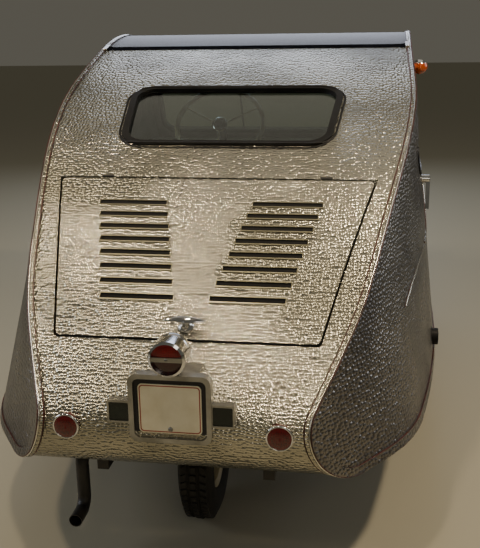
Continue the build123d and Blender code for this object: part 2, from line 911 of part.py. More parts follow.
# Lamps.
with BuildPart() as headlamps:
    for side, name in both_sides:
        lamp_plane = Plane(
            origin=(side * lamp_x, -lamp_front_y, lamp_z), x_dir=(0, 0, 1), z_dir=(1, 0, 0)
        )
        with BuildSketch(lamp_plane):
            with BuildLine():
                Polyline((0, 0), (0, -lamp_back_depth), (lamp_radius * 0.5, -lamp_back_depth))
                Line((lamp_radius * 0.5, -lamp_back_depth), (lamp_radius, -lamp_back_depth + 70))
                Line((lamp_radius, -lamp_back_depth + 70), (lamp_radius, -16))
                TangentArc((0, 0), (lamp_radius, -16), tangent=(1, 0))
            make_face()
        revolve(axis=Axis((side * lamp_x, 0, lamp_z), (0, 1, 0)))
finish("headlamps", headlamps.part)

with BuildPart() as tail_lamps:
    for side, name in both_sides:
        lens_plane = Plane(
            origin=(side * tail_lamp_x, tail_lamp_y, tail_lamp_z), x_dir=(0, 0, 1), z_dir=(-1, 0, 0)
        )
        with BuildSketch(lens_plane):
            with BuildLine():
                Polyline((0, 10), (0, -30), (tail_lamp_radius - 3, -30), (tail_lamp_radius - 3, 0))
                Polyline((tail_lamp_radius - 3, 0), (tail_lamp_radius, 0), (tail_lamp_radius, 4))
                TangentArc((0, 10), (tail_lamp_radius, 4), tangent=(1, 0))
            make_face()
        revolve(axis=Axis((side * tail_lamp_x, 0, tail_lamp_z), (0, 1, 0)))
finish("tail_lamps", tail_lamps.part)

# Stop lamp: a drum with a rim and two lens halves under a bar.
stop_plane = Plane(origin=(0, stop_lamp_y, stop_lamp_z), x_dir=(0, 0, 1), z_dir=(-1, 0, 0))
with BuildPart() as stop_lamp:
    with BuildSketch(stop_plane):
        with BuildLine():
            Polyline((0, -4), (0, -stop_lamp_depth), (stop_lamp_radius * 0.6, -stop_lamp_depth))
            ThreePointArc(
                (stop_lamp_radius * 0.6, -stop_lamp_depth),
                (stop_lamp_radius * 0.9, -stop_lamp_depth * 0.85),
                (stop_lamp_radius - 3, -stop_lamp_depth * 0.6),
            )
            Polyline(
                (stop_lamp_radius - 3, -stop_lamp_depth * 0.6),
                (stop_lamp_radius - 3, -14),
                (stop_lamp_radius, -12),
                (stop_lamp_radius, -4),
                (stop_lamp_radius - 6, 0),
                (stop_lamp_radius - 8, -8),
            )
            TangentArc((0, -4), (stop_lamp_radius - 8, -8), tangent=(1, 0))
        make_face()
    revolve(axis=Axis((0, 0, stop_lamp_z), (0, 1, 0)))
    with BuildSketch(Plane.XZ.offset(-stop_lamp_y)):
        with Locations((0, stop_lamp_z)):
            Rectangle(2 * stop_lamp_radius - 10, 11)
    extrude(amount=8)
finish("stop_lamp", stop_lamp.part)

# Plate holder: a shallow frame on a bracket, with a small box on each side and the lamp's saddle.
with BuildPart() as plate_holder:
    with BuildSketch(Plane.XZ.offset(-plate_face_y)):
        with Locations((0, plate_z)):
            RectangleRounded(plate_frame_width, plate_frame_height, 22)
    extrude(amount=plate_frame_depth)
    with BuildSketch(Plane.XZ.offset(-plate_face_y)):
        with Locations((0, plate_z)):
            RectangleRounded(plate_frame_width - 24, plate_frame_height - 24, 14)
    extrude(amount=6, mode=Mode.SUBTRACT)
    with BuildSketch(Plane.XZ.offset(-plate_face_y + plate_frame_depth)):
        with Locations((0, plate_z)):
            Rectangle(120, plate_frame_height - 40)
    extrude(amount=200)
    for side, name in both_sides:
        with BuildSketch(Plane.XZ.offset(-plate_face_y + 4)):
            with Locations((side * badge_x, badge_z)):
                RectangleRounded(badge_size, badge_size, 5)
        extrude(amount=plate_frame_depth - 4)
        with BuildSketch(Plane.XZ.offset(-plate_face_y + 4)):
            with Locations((side * badge_x, badge_z)):
                RectangleRounded(badge_size - 10, badge_size - 10, 3)
        extrude(amount=3, mode=Mode.SUBTRACT)
    with BuildSketch(Plane.XZ.offset(-plate_face_y + 4)):
        with Locations((0, stop_lamp_z - 20)):
            Rectangle(50, 70)
    extrude(amount=plate_frame_depth - 6)
    with BuildSketch(Plane.XZ.offset(-plate_face_y)):
        with Locations((0, stop_lamp_z)):
            Circle(stop_lamp_radius)
        with Locations((0, stop_lamp_z + 30)):
            Rectangle(80, 60)
    extrude(amount=plate_frame_depth, mode=Mode.SUBTRACT)
    with BuildSketch(Plane.XZ.offset(-plate_face_y)):
        with Locations((0, plate_z)):
            with GridLocations(plate_screw_span, 0, 2, 1):
                Circle(plate_screw_radius)
    extrude(amount=plate_frame_depth - 4, mode=Mode.SUBTRACT)
    add(outer_profile, mode=Mode.SUBTRACT)
finish("plate_holder", plate_holder.part)


# Turn lamps on the cantrails: a cap ahead, a lens behind, a foot to the side wall.
with BuildPart() as turn_lamps:
    for side, name in both_sides:
        foot = side_surface(turn_lamp_at, turn_lamp_z, side)
        axis_x = foot.X + side * turn_lamp_stand
        lamp_plane = Plane(
            origin=(axis_x, car_y(turn_lamp_at), turn_lamp_z), x_dir=(0, 0, 1), z_dir=(-1, 0, 0)
        )
        with BuildSketch(lamp_plane):
            with BuildLine():
                TangentArc((0, 20), (turn_lamp_radius, 0), tangent=(1, 0))
                Line((turn_lamp_radius, 0), (turn_lamp_radius, -14))
                TangentArc((turn_lamp_radius, -14), (0, -50), tangent=(0, -1))
                Line((0, -50), (0, 20))
            make_face()
        revolve(axis=Axis((axis_x, 0, turn_lamp_z), (0, 1, 0)))
        with BuildSketch(Plane.YZ.offset(foot.X - side * 10)):
            with Locations((car_y(turn_lamp_at + 6), turn_lamp_z)):
                Ellipse(26, 14)
        extrude(amount=side * (turn_lamp_stand + 4))
    add(outer_plan, mode=Mode.SUBTRACT)
finish("turn_lamps", turn_lamps.part)

# Cabin.
column_slope = math.radians(column_degrees)
column_axis = Vector(0, math.cos(column_slope), math.sin(column_slope))
hub = Vector(steering_x, car_y(steering_hub_at), steering_hub_z)
column_top = hub - column_axis * 25
column_foot = hub - column_axis * column_length

with BuildPart() as dashboard:
    with BuildSketch(Plane.YZ):
        with BuildLine():
            Polyline(*[place(corner) for corner in dash_corners], close=True)
        make_face()
    extrude(amount=half_span, both=True)
    add(inner_plan, mode=Mode.INTERSECT)
    add(inner_profile, mode=Mode.INTERSECT)
    add(tube_between(column_top, column_foot, column_radius), mode=Mode.SUBTRACT)
finish("dashboard", dashboard.part)

with BuildPart() as steering_column:
    add(tube_between(column_top, column_foot, column_radius))
    add(
        slab(
            (steering_x - 45, steering_x + 45),
            (column_foot.Y - 52, column_foot.Y + 60),
            (inside_low_z, column_foot.Z + 30),
        )
    )
    add(
        tube_between(column_top, column_top - column_axis * 70, shaft_radius + running_clearance),
        mode=Mode.SUBTRACT,
    )
finish("steering_column", steering_column.part)

wheel_face = Plane(origin=hub, x_dir=(1, 0, 0), z_dir=column_axis)
with BuildPart() as steering_wheel:
    with BuildSketch(wheel_face.offset(-12)):
        Circle(28)
    extrude(amount=26)
    with BuildSketch(wheel_face.offset(-80)):
        Circle(shaft_radius)
    extrude(amount=80)
    with BuildSketch(Plane(origin=hub, x_dir=(1, 0, 0), z_dir=Vector(1, 0, 0).cross(column_axis))):
        with Locations((steering_rim_radius, 0)):
            Circle(steering_rim_section)
    revolve(axis=Axis(hub, column_axis))
    for spoke in range(steering_spokes):
        turn = math.radians(90 + 360 * spoke / steering_spokes)
        tip = wheel_face.from_local_coords(
            (steering_rim_radius * math.cos(turn), steering_rim_radius * math.sin(turn), 0)
        )
        add(tube_between(hub, tip, 4))
finish("steering_wheel", steering_wheel.part)

finish(
    "seat_cushion",
    slab((-seat_half, seat_half), (car_y(seat_front_at), car_y(seat_rear_at)), (seat_box_z, seat_top_z)),
)
with BuildPart() as seat_back:
    with BuildSketch(Plane.YZ):
        with BuildLine():
            Polyline(*[place(corner) for corner in seat_back_corners], close=True)
        make_face()
    extrude(amount=seat_half, both=True)
finish("seat_back", seat_back.part)

# Hatch handle: a boss with a wing across it.
with BuildPart() as hatch_handle:
    with BuildSketch(back_plane(handle_at)):
        Circle(20)
    extrude(amount=22)
    with BuildSketch(back_plane(handle_at).offset(18)):
        SlotOverall(handle_length, 18)
    extrude(amount=14)
finish("hatch_handle", hatch_handle.part)

# Wiper: spindle, arm and blade over the windscreen.
wiper_low = screen_length / 2 - 14
with BuildPart() as wiper:
    with BuildSketch(screen_plane):
        with Locations((wiper_x, wiper_low)):
            Circle(9)
    extrude(amount=20)
    with BuildSketch(screen_plane.offset(14)):
        with Locations((wiper_x, wiper_low - 150)):
            Rectangle(7, 300)
    extrude(amount=5)
    with BuildSketch(screen_plane.offset(9)):
        with Locations((wiper_x, wiper_low - 270)):
            Rectangle(9, 280)
    extrude(amount=5)
finish("wiper", wiper.part)

# Rubber buffers on the sills.
with BuildPart() as buffers:
    for side, name in both_sides:
        seat_point = side_surface(buffer_at, buffer_z, side)
        with BuildSketch(Plane.YZ.offset(seat_point.X - side * 12)):
            with Locations((car_y(buffer_at), buffer_z)):
                Circle(buffer_radius)
        extrude(amount=side * (12 + buffer_height))
    add(outer_plan, mode=Mode.SUBTRACT)
finish("sill_buffers", buffers.part)
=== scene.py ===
# %% [markdown]
# # A small three wheeled car in hammered aluminium
#
# The solids of the car come from its CAD model, which is packed as a fixed frame: every panel,
# wheel and lamp already has its real size and place. This lesson gives them their looks. It makes
# the finishes first, then the pieces that solids alone can't show: beads and rubbers, lenses,
# the plate, tyre tread, padded seats and the small things in the cabin.
#
# All lengths are in metres. The car stands on z = 0, faces -Y, and its tail is at +Y.

# %% Load the frame
import json
import math

import bmesh
import bpy
from mathutils import Matrix, Vector
from mathutils.bvhtree import BVHTree


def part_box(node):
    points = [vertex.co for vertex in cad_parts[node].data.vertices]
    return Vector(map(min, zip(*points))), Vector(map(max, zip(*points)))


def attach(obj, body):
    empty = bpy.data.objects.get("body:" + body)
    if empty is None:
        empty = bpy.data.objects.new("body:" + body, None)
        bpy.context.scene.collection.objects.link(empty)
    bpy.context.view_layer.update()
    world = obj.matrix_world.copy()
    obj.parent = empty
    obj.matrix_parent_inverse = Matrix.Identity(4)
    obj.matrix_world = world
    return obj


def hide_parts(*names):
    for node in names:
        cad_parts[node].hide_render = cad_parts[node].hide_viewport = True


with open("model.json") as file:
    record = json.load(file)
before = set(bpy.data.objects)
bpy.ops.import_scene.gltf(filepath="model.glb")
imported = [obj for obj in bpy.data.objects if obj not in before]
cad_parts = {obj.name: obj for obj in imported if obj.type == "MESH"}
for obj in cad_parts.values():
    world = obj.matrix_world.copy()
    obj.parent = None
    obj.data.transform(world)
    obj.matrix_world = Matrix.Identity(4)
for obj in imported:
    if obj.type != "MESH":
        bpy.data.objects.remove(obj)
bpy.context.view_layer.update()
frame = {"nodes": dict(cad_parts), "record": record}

MM = 0.001
TAIL_END_Y = 1.425
SIDES = ((1, "left"), (-1, "right"))

# %% [markdown]
# ## Camera, floor and light
#
# The camera stands behind the car, a little to its right, at the height of a person's chest. Its
# lens and tilt are those of the reference view. Metal shows only what it mirrors. Broad soft
# panels give the body its slow change of tone, and a few small lamps under the ceiling put one
# bright point into each dimple of the skin, with darker air between them.

# %% Camera
CAMERA_PLACE = Vector((-0.43, 3.125, 1.37))
CAMERA_YAW = math.radians(8.65)
CAMERA_PITCH = math.radians(16.33)
CAMERA_ROLL = math.radians(-0.74)
CAMERA_LENS = 53.2
SENSOR = 36.0

view_line = Vector(
    (
        math.sin(CAMERA_YAW) * math.cos(CAMERA_PITCH), -math.cos(CAMERA_YAW) * math.cos(CAMERA_PITCH),
        -math.sin(CAMERA_PITCH),
    )
)
camera_data = bpy.data.cameras.new("camera")
camera_data.lens = CAMERA_LENS
camera_data.sensor_width = SENSOR
camera = bpy.data.objects.new("camera", camera_data)
level_turn = view_line.to_track_quat("-Z", "Y").to_matrix().to_4x4()
camera.matrix_world = (
    Matrix.Translation(CAMERA_PLACE) @ level_turn @ Matrix.Rotation(CAMERA_ROLL, 4, "Z")
)
bpy.context.scene.collection.objects.link(camera)
bpy.context.scene.camera = camera


# %% Node and colour helpers
def colour(hex_text):
    """An sRGB hex colour as the linear values that a shader reads."""
    channels = [int(hex_text[i : i + 2], 16) / 255 for i in (1, 3, 5)]
    linear = [c / 12.92 if c <= 0.04045 else ((c + 0.055) / 1.055) ** 2.4 for c in channels]
    return (*linear, 1.0)


def fill(tree, node, inputs):
    """Fill a node's sockets: a value is set, a socket or the first output of a node is linked."""
    for name, value in inputs.items():
        source = value.outputs[0] if isinstance(value, bpy.types.Node) else value
        if isinstance(source, bpy.types.NodeSocket):
            tree.links.new(source, node.inputs[name])
        else:
            node.inputs[name].default_value = value


def add_node(tree, kind, inputs=None, **settings):
    """Add a node, set its settings, and fill its sockets with values or links."""
    node = tree.nodes.new(kind)
    for name, value in settings.items():
        setattr(node, name, value)
    fill(tree, node, inputs or {})
    return node


def new_material(name, **sockets):
    """A material with one Principled shader, and the sockets that stay the same all over."""
    material = bpy.data.materials.new(name)
    material.use_nodes = True
    shader = material.node_tree.nodes["Principled BSDF"]
    for socket, value in sockets.items():
        shader.inputs[socket.replace("_", " ")].default_value = value
    return material, material.node_tree, shader


def two_tone(tree, shader, share, tints, links):
    """Give the shader a colour between two tints, by a share from 0 to 1, and its other links."""
    first, second = [colour(tint) for tint in tints]
    mix = add_node(tree, "ShaderNodeMix", {"Factor": share, "A": first, "B": second}, data_type="RGBA")
    fill(tree, shader, {"Base Color": mix.outputs["Result"], **links})


# %% Floor and lights
FLOOR_REACH = 40.0
floor_material = new_material("floor_paint", Base_Color=colour("#A8A38F"), Roughness=0.55)[0]
floor_mesh = bpy.data.meshes.new("floor")
floor_mesh.from_pydata([(x, y, 0.0) for x, y in ((-1, -1), (1, -1), (1, 1), (-1, 1))], [], [(0, 1, 2, 3)])
floor_mesh.transform(Matrix.Scale(FLOOR_REACH, 4))
floor_mesh.materials.append(floor_material)
floor = bpy.data.objects.new("floor", floor_mesh)
bpy.context.scene.collection.objects.link(floor)

AIR_TINT, AIR_STRENGTH = "#B3AE9E", 0.22
world = bpy.data.worlds.new("studio_air")
bpy.context.scene.world = world
world.use_nodes = True
world.node_tree.nodes["Background"].inputs["Color"].default_value = colour(AIR_TINT)
world.node_tree.nodes["Background"].inputs["Strength"].default_value = AIR_STRENGTH

# Name, place, what it points at, width, height, power in watts, colour.
LIGHTS = (
    ("lamp_over_tail", (0.3, 1.7, 3.3), (0.0, 1.0, 0.7), 0.18, 0.18, 24.0, "#FFE9C8"),
    ("lamp_over_tail_left", (1.9, 1.1, 3.2), (0.2, 1.0, 0.7), 0.18, 0.18, 26.0, "#FFE9C8"),
    ("lamp_over_tail_right", (-1.8, 1.0, 3.2), (-0.2, 1.0, 0.7), 0.18, 0.18, 62.0, "#FFE9C8"),
    ("panel_over_roof", (0.0, -0.6, 3.5), (0.0, -0.6, 0.0), 3.6, 2.4, 9.5, "#FFF3DF"),
    ("panel_behind", (-1.4, 4.6, 2.6), (0.0, 1.2, 0.5), 1.6, 1.0, 12.0, "#FFF3DF"),
    ("panel_left", (4.2, 1.4, 2.4), (0.0, 0.2, 0.7), 2.0, 2.0, 70.0, "#EEF2FA"),
    ("panel_right", (-4.4, -1.4, 2.4), (0.0, -0.2, 0.7), 2.0, 2.0, 46.0, "#EEF2FA"),
    ("panel_front", (0.6, -4.6, 2.9), (0.0, -0.8, 0.7), 3.4, 2.2, 60.0, "#DFE9FF"),
)
for name, place, aim, width, height, power, tint in LIGHTS:
    lamp = bpy.data.lights.new(name, "AREA")
    lamp.shape = "RECTANGLE"
    lamp.size = width
    lamp.size_y = height
    lamp.energy = power
    lamp.color = colour(tint)[:3]
    lamp_object = bpy.data.objects.new(name, lamp)
    lamp_object.location = place
    lamp_object.rotation_euler = (Vector(aim) - Vector(place)).to_track_quat("-Z", "Y").to_euler()
    bpy.context.scene.collection.objects.link(lamp_object)
print("lights", len(LIGHTS))

# %% [markdown]
# ## The hammered skin
#
# The body is sheet aluminium rolled between hammered dies, so that it is covered with shallow
# rounded bumps about 10 mm apart. The pattern is far too fine to model, so it is a bump: a
# Voronoi cell pattern is round in the middle of each cell and has a crease between cells, which is
# just the form of such sheet. Two slow noises waver it: one the depth of the bumps, because no
# roller is even, and one the tone, because the metal is dulled here and there.

# %% Hammered aluminium
BUMP_PITCH = 10.5 * MM
BUMP_HEIGHT = 4.0 * MM
# The pattern is unrolled from the curved sheet: across the car, and down its slope. One mix of
# run and rise serves every slope, where it gives a pitch of about 7 to 11 mm. It folds under the
# roof cover, where tail and nose part. On the side walls the pattern lies along the car and up.
FOLD_Y = -200 * MM
SLOPE_RUN, SLOPE_RISE = 0.32, 1.42


def hammered(name, tint, dull_and_crease_shade_tint, height, roughness, upright=False):
    """Sheet aluminium from hammered rollers: warm grey metal, closely bumped."""
    material, tree, shader = new_material(name, Metallic=1.0)
    place = add_node(tree, "ShaderNodeTexCoord").outputs["Object"]
    parts = add_node(tree, "ShaderNodeSeparateXYZ", {"Vector": place}).outputs
    if upright:
        flat = add_node(tree, "ShaderNodeCombineXYZ", {"X": parts["Y"], "Y": parts["Z"]})
    else:
        from_fold = add_node(tree, "ShaderNodeMath", {0: parts["Y"], 1: -FOLD_Y}, operation="ADD")
        reach = add_node(tree, "ShaderNodeMath", {0: from_fold}, operation="ABSOLUTE")
        run = add_node(tree, "ShaderNodeMath", {0: reach, 1: -SLOPE_RUN}, operation="MULTIPLY")
        rise = add_node(tree, "ShaderNodeMath", {0: parts["Z"], 1: SLOPE_RISE}, operation="MULTIPLY")
        slope = add_node(tree, "ShaderNodeMath", {0: run, 1: rise}, operation="ADD")
        flat = add_node(tree, "ShaderNodeCombineXYZ", {"X": parts["X"], "Y": slope})
    cells = add_node(
        tree, "ShaderNodeTexVoronoi",
        {"Vector": flat, "Scale": 1 / BUMP_PITCH, "Smoothness": 0.12, "Randomness": 0.68},
        feature="SMOOTH_F1", voronoi_dimensions="2D",
    )
    waver = add_node(tree, "ShaderNodeTexNoise", {"Vector": place, "Scale": 7.0, "Detail": 2.0})
    depth = add_node(
        tree, "ShaderNodeMapRange",
        {"Value": waver, "From Min": 0.32, "From Max": 0.68, "To Min": 0.8, "To Max": 1.2},
    )
    dome = add_node(tree, "ShaderNodeMath", {0: cells, 1: 2.0}, operation="POWER")
    relief = add_node(tree, "ShaderNodeMath", {0: dome, 1: depth}, operation="MULTIPLY")
    bump = add_node(
        tree, "ShaderNodeBump", {"Height": relief, "Distance": height, "Strength": 1.0}, invert=True
    )
    cloud = add_node(tree, "ShaderNodeTexNoise", {"Vector": place, "Scale": 3.1, "Detail": 4.0})
    tone = add_node(tree, "ShaderNodeMapRange", {"Value": cloud, "From Min": 0.35, "From Max": 0.65})
    # Painted shade: the creases between the bumps take the darker tint, and are rougher too. The slow
    # tone noise dulls the metal at random.
    crease_painted_shade = add_node(
        tree, "ShaderNodeMapRange", {"Value": cells, "From Min": 0.35, "From Max": 0.75, "To Max": 0.55}
    )
    dulling_and_crease_shade = add_node(tree, "ShaderNodeMath", {0: tone, 1: crease_painted_shade}, operation="MAXIMUM")
    rough = add_node(
        tree, "ShaderNodeMapRange", {"Value": dulling_and_crease_shade, "To Min": roughness, "To Max": roughness + 0.14}
    )
    two_tone(tree, shader, dulling_and_crease_shade, (tint, dull_and_crease_shade_tint), {"Roughness": rough, "Normal": bump})
    return material


hammered_skin = hammered("hammered_aluminium", "#CFCAB9", "#8F8C7E", BUMP_HEIGHT, 0.17)
# The side walls are the same sheet. Their darker tint is painted shade: on the real car they mirror
# darker things than this studio has.
side_skin_painted_shade = hammered("hammered_side_aluminium_painted_shade", "#86827D", "#5B5856", BUMP_HEIGHT, 0.24, upright=True)
# Where the sheet was pressed into hoods its bumps are stretched nearly flat.
pressed_skin = hammered("pressed_hammered_aluminium", "#A9A48E", "#7F7C69", 0.5 * MM, 0.34)

# %% [markdown]
# ## Finishes of everything else
#
# Each finish starts from what the real one is. A helper gives the two things that most of them
# need: a tone that wanders between two colours, and a fine relief. The size of each pattern is a
# real one in millimetres: leather grain 1.5 mm, wood grain 4 mm, cast skin 1 mm.


# %% A wandering tone with a fine relief
def mottled(name, tints, grain, relief, wander=60, stretch=(1, 1, 1), **sockets):
    """A finish that wanders between two colours over a fine relief, with sizes in millimetres."""
    material, tree, shader = new_material(name, **sockets)
    place = add_node(tree, "ShaderNodeTexCoord").outputs["Object"]
    drawn = add_node(tree, "ShaderNodeMapping", {"Vector": place, "Scale": stretch}).outputs["Vector"]
    cloud = add_node(
        tree, "ShaderNodeTexNoise", {"Vector": drawn, "Scale": 1 / (wander * MM), "Detail": 5.0}
    )
    tone = add_node(tree, "ShaderNodeMapRange", {"Value": cloud, "From Min": 0.35, "From Max": 0.65})
    fine = add_node(
        tree, "ShaderNodeTexNoise", {"Vector": drawn, "Scale": 1 / (grain * MM), "Detail": 3.0}
    )
    bump = add_node(tree, "ShaderNodeBump", {"Height": fine, "Distance": relief * MM, "Strength": 1.0})
    two_tone(tree, shader, tone, tints, {"Normal": bump})
    return material


# %% Metals, paints, rubbers and cloths
# Rolled aluminium trim: brighter than the body, with fine draw lines along the strip.
bright_trim = mottled(
    "bright_aluminium_trim", ("#E2DFD6", "#BDB8AC"), 1.2, 0.05, Metallic=1.0, Roughness=0.24
)
# Soft PVC strip, red brown, dulled by age: a broad weak gloss.
piping = mottled("red_brown_pvc_strip", ("#4A1C14", "#2C1410"), 2, 0.1, Roughness=0.42)
# Chromium plate is nearly a mirror, and only a faint haze breaks it.
chrome = mottled("chromium_plate", ("#E9E9EA", "#C9CACC"), 3, 0.02, Metallic=1.0, Roughness=0.09)
# Sand cast aluminium: grey, with a skin like fine orange peel.
cast_metal = mottled("cast_aluminium", ("#B4B3AE", "#8D8C86"), 1.2, 0.12, Metallic=1.0, Roughness=0.4)
zinc = mottled("zinc_plated_steel", ("#A5A6A3", "#7D7E79"), 1, 0.03, Metallic=1.0, Roughness=0.35)
# Brushed black paint on the frame and the running gear, with road dust.
black_paint = mottled("black_chassis_paint", ("#151515", "#2A2723"), 1.5, 0.15, wander=40, Roughness=0.5)
# The engine is bare cast iron and alloy, dulled by oil.
engine_metal = mottled("oily_cast_iron", ("#4B4A46", "#2C2924"), 2, 0.4, Metallic=0.8, Roughness=0.5)
cream_enamel = mottled(
    "cream_wheel_enamel", ("#CFC7AC", "#B9B093"), 6, 0.03, Roughness=0.28, Coat_Weight=0.4
)
dash_paint = mottled("grey_dash_enamel", ("#A9A493", "#8F8A7B"), 1.2, 0.04, Roughness=0.3)
# Moulded Bakelite-like plastic of the steering wheel: ivory, gone yellow where hands hold it.
ivory = mottled("ivory_moulded_plastic", ("#CFC9AE", "#B3AB8A"), 4, 0.02, Roughness=0.25)
window_rubber = mottled(
    "black_window_rubber", ("#0C0C0C", "#161616"), 1, 0.06, Roughness=0.5, Specular_IOR_Level=0.25
)
tyre_rubber = mottled("tyre_rubber", ("#141414", "#26241F"), 1.5, 0.1, Roughness=0.72)
# Artificial leather on the roof: blue black, with a rounded grain and a satin gloss.
roof_leather = mottled(
    "roof_leatherette", ("#232A38", "#171C27"), 1.6, 0.35, Roughness=0.42, Sheen_Weight=0.15
)
roof_seam = mottled(
    "roof_seam_strip", ("#0A0C11", "#12151B"), 1.2, 0.2, Roughness=0.85, Specular_IOR_Level=0.0
)
# Birch plywood, varnished: long grain along the car.
plywood = mottled(
    "varnished_plywood", ("#7A5734", "#573A20"), 3, 0.2, wander=12, stretch=(1, 0.06, 1), Roughness=0.55
)
# Black undercoat of the bay's inner faces, used also as painted shade on the skin sunk in the louvre
# openings.
bay_undercoat_and_painted_shade = mottled("black_undercoat_and_painted_shade", ("#0B0B0A", "#141312"), 2, 0.3, Roughness=0.9)
lining = mottled("grey_felt_lining", ("#54504A", "#45413B"), 0.8, 0.5, Roughness=0.95)
field_enamel = mottled("blue_black_enamel", ("#14151F", "#0C0D14"), 3, 0.05, Roughness=0.35)
plate_enamel = mottled("plate_cream_enamel", ("#F2EBD3", "#E2D9BC"), 30, 0.05, Roughness=0.33)
plate_red = mottled("plate_red_enamel", ("#A3311B", "#8A2715"), 10, 0.03, Roughness=0.35)
badge_enamel = mottled("green_black_enamel", ("#1B2722", "#0F1614"), 6, 0.08, Roughness=0.22)


# %% [markdown]
# ## Seat cloth and lamp lenses
#
# The seats are in a red brown woven cloth. Its weave is two crossed waves, one for the warp and
# one for the weft, 3 mm apart, which is coarser than real thread so that it shows. The lenses are
# pressed acrylic with small prisms inside, which scatter the light: a cell pattern as a bump on a
# clear, coloured plastic gives the same deep glow.

# %% Woven seat cloth
THREAD_PITCH = 3 * MM
seat_cloth, tree, shader = new_material(
    "red_brown_seat_cloth", Roughness=0.9, Sheen_Weight=0.35, Sheen_Roughness=0.5
)
place = add_node(tree, "ShaderNodeTexCoord").outputs["Object"]
# At a scale of 1 the bands of a wave are this far apart.
WAVE_LENGTH = 0.314
threads = {"Vector": place, "Scale": WAVE_LENGTH / THREAD_PITCH, "Distortion": 0.4}
warp, weft = [
    add_node(
        tree, "ShaderNodeTexWave", threads, bands_direction=direction
    ).outputs["Fac"] for direction in ("X", "DIAGONAL")
]
weave = add_node(tree, "ShaderNodeMath", {0: warp, 1: weft}, operation="MULTIPLY")
cloth_bump = add_node(tree, "ShaderNodeBump", {"Height": weave, "Distance": 0.6 * MM, "Strength": 1.0})
two_tone(tree, shader, weave, ("#3B130D", "#75301F"), {"Normal": cloth_bump})


# %% Lenses and glass
def lens(name, tint, deep_tint, prism=4):
    """Coloured acrylic: a glossy outside, with small prisms of so many millimetres behind it."""
    material, tree, shader = new_material(
        name, Roughness=0.12, IOR=1.49, Transmission_Weight=0.15, Coat_Weight=0.6
    )
    place = add_node(tree, "ShaderNodeTexCoord").outputs["Object"]
    prisms = add_node(
        tree, "ShaderNodeTexVoronoi", {"Vector": place, "Scale": 1 / (prism * MM), "Randomness": 0.15}
    )
    bump = add_node(tree, "ShaderNodeBump", {"Height": prisms, "Distance": 0.5 * MM})
    two_tone(tree, shader, prisms, (tint, deep_tint), {"Normal": bump})
    return material


red_lens = lens("red_acrylic_lens", "#7D0E12", "#3A0406")
bright_red_lens = lens("bright_red_acrylic_lens", "#B0141A", "#5A070A")
dark_red_lens = lens("dark_red_acrylic_lens", "#4B070B", "#220204")
amber_lens = lens("amber_acrylic_lens", "#D9641A", "#8A2A08")
clear_lens = lens("headlamp_glass", "#D9DDDC", "#8D9496", 9)

# Window glass is clear with a faint green edge.
window_glass, tree, shader = new_material(
    "window_glass", Base_Color=colour("#DCE8E2"), Roughness=0.01, IOR=1.5, Transmission_Weight=1.0
)
smear = add_node(
    tree, "ShaderNodeTexNoise",
    {"Vector": add_node(tree, "ShaderNodeTexCoord").outputs["Object"], "Scale": 2.5, "Detail": 3.0},
)
haze = add_node(tree, "ShaderNodeMapRange", {"Value": smear, "To Min": 0.0, "To Max": 0.05})
fill(tree, shader, {"Roughness": haze})

# %% Give every CAD node its finish
finish_of = {
    "hammered_aluminium": hammered_skin, "roof_leatherette": roof_leather, "edge_bead": piping,
    "glass": window_glass, "black_rubber": window_rubber, "tyre_rubber": tyre_rubber,
    "red_lens": red_lens, "amber_lens": amber_lens, "chrome": chrome, "black_paint": black_paint,
    "wheel_paint": cream_enamel, "cast_aluminium": cast_metal, "plywood": plywood,
    "seat_cloth": seat_cloth, "dash_paint": dash_paint, "ivory_plastic": ivory,
    "engine_metal": engine_metal,
}
for part in frame["record"]["subparts"]:
    node_object = frame["nodes"][part["node"]]
    node_object.data.materials.clear()
    upright_wall = part["node"].startswith(("side_panel", "door_left", "door_right"))
    # Side walls and doors take the side sheet, whose darker tint is painted shade.
    finish = side_skin_painted_shade if upright_wall else finish_of[part["material_slot"]]
    node_object.data.materials.append(finish)
print("finishes", len(finish_of))

# %% [markdown]
# ## More than one finish on a node
#
# A door is hammered metal outside and felt inside, and a lamp is one solid with a rim, a lens and
# a drum. Such a node keeps its mesh, and each triangle picks its finish by where it is and which
# way it faces. The test is given as a small function of the triangle's centre and normal.


# %% Finishes by place on the node
BODY_MIDDLE_Z = 0.7
# How far a face must be turned to one side to count as facing it.
FACES_SIDE, FACES_BACK, FACES_INSIDE, DOME_FACES = 0.6, 0.9, 0.5, 0.3


def paint(node, material, test):
    """Give this finish to the triangles of a node that pass the test."""
    mesh = frame["nodes"][node].data
    mesh.materials.append(material)
    slot_index = len(mesh.materials) - 1
    count = 0
    for polygon in mesh.polygons:
        if test(polygon.center, polygon.normal):
            polygon.material_index = slot_index
            count += 1
    print(node, material.name, count)


def looks_inside(centre, normal):
    """Whether a face is turned to the middle of the body, in the side view."""
    return normal.dot(Vector((0, centre.y, centre.z - BODY_MIDDLE_Z))) < -0.1


for side, name in SIDES:
    for node in (f"door_{name}", f"side_panel_{name}"):
        paint(node, lining, lambda centre, normal: normal.x * side < -FACES_INSIDE)
for node in ("roof_panel", "upper_tail_panel", "nose_panel"):
    paint(node, lining, looks_inside)

ROOF_REAR = Vector((TAIL_END_Y - 1540 * MM, 1330 * MM))
ROOF_CROWN = Vector((TAIL_END_Y - 1920 * MM, 1380 * MM))
BACK_FOOT = Vector((TAIL_END_Y - 180 * MM, 641 * MM))
roof_rise = ROOF_CROWN.y - ROOF_REAR.y
roof_run = ROOF_REAR.x - ROOF_CROWN.x
ROOF_RADIUS = (roof_run**2 + roof_rise**2) / (2 * roof_rise)
rear_slope = math.asin(roof_run / ROOF_RADIUS)
back_chord = BACK_FOOT - ROOF_REAR
back_inward = Vector((-math.sin(rear_slope), -math.cos(rear_slope)))
BACK_RADIUS = back_chord.length_squared / (2 * back_chord.dot(back_inward))
BACK_CENTRE = ROOF_REAR + back_inward * BACK_RADIUS
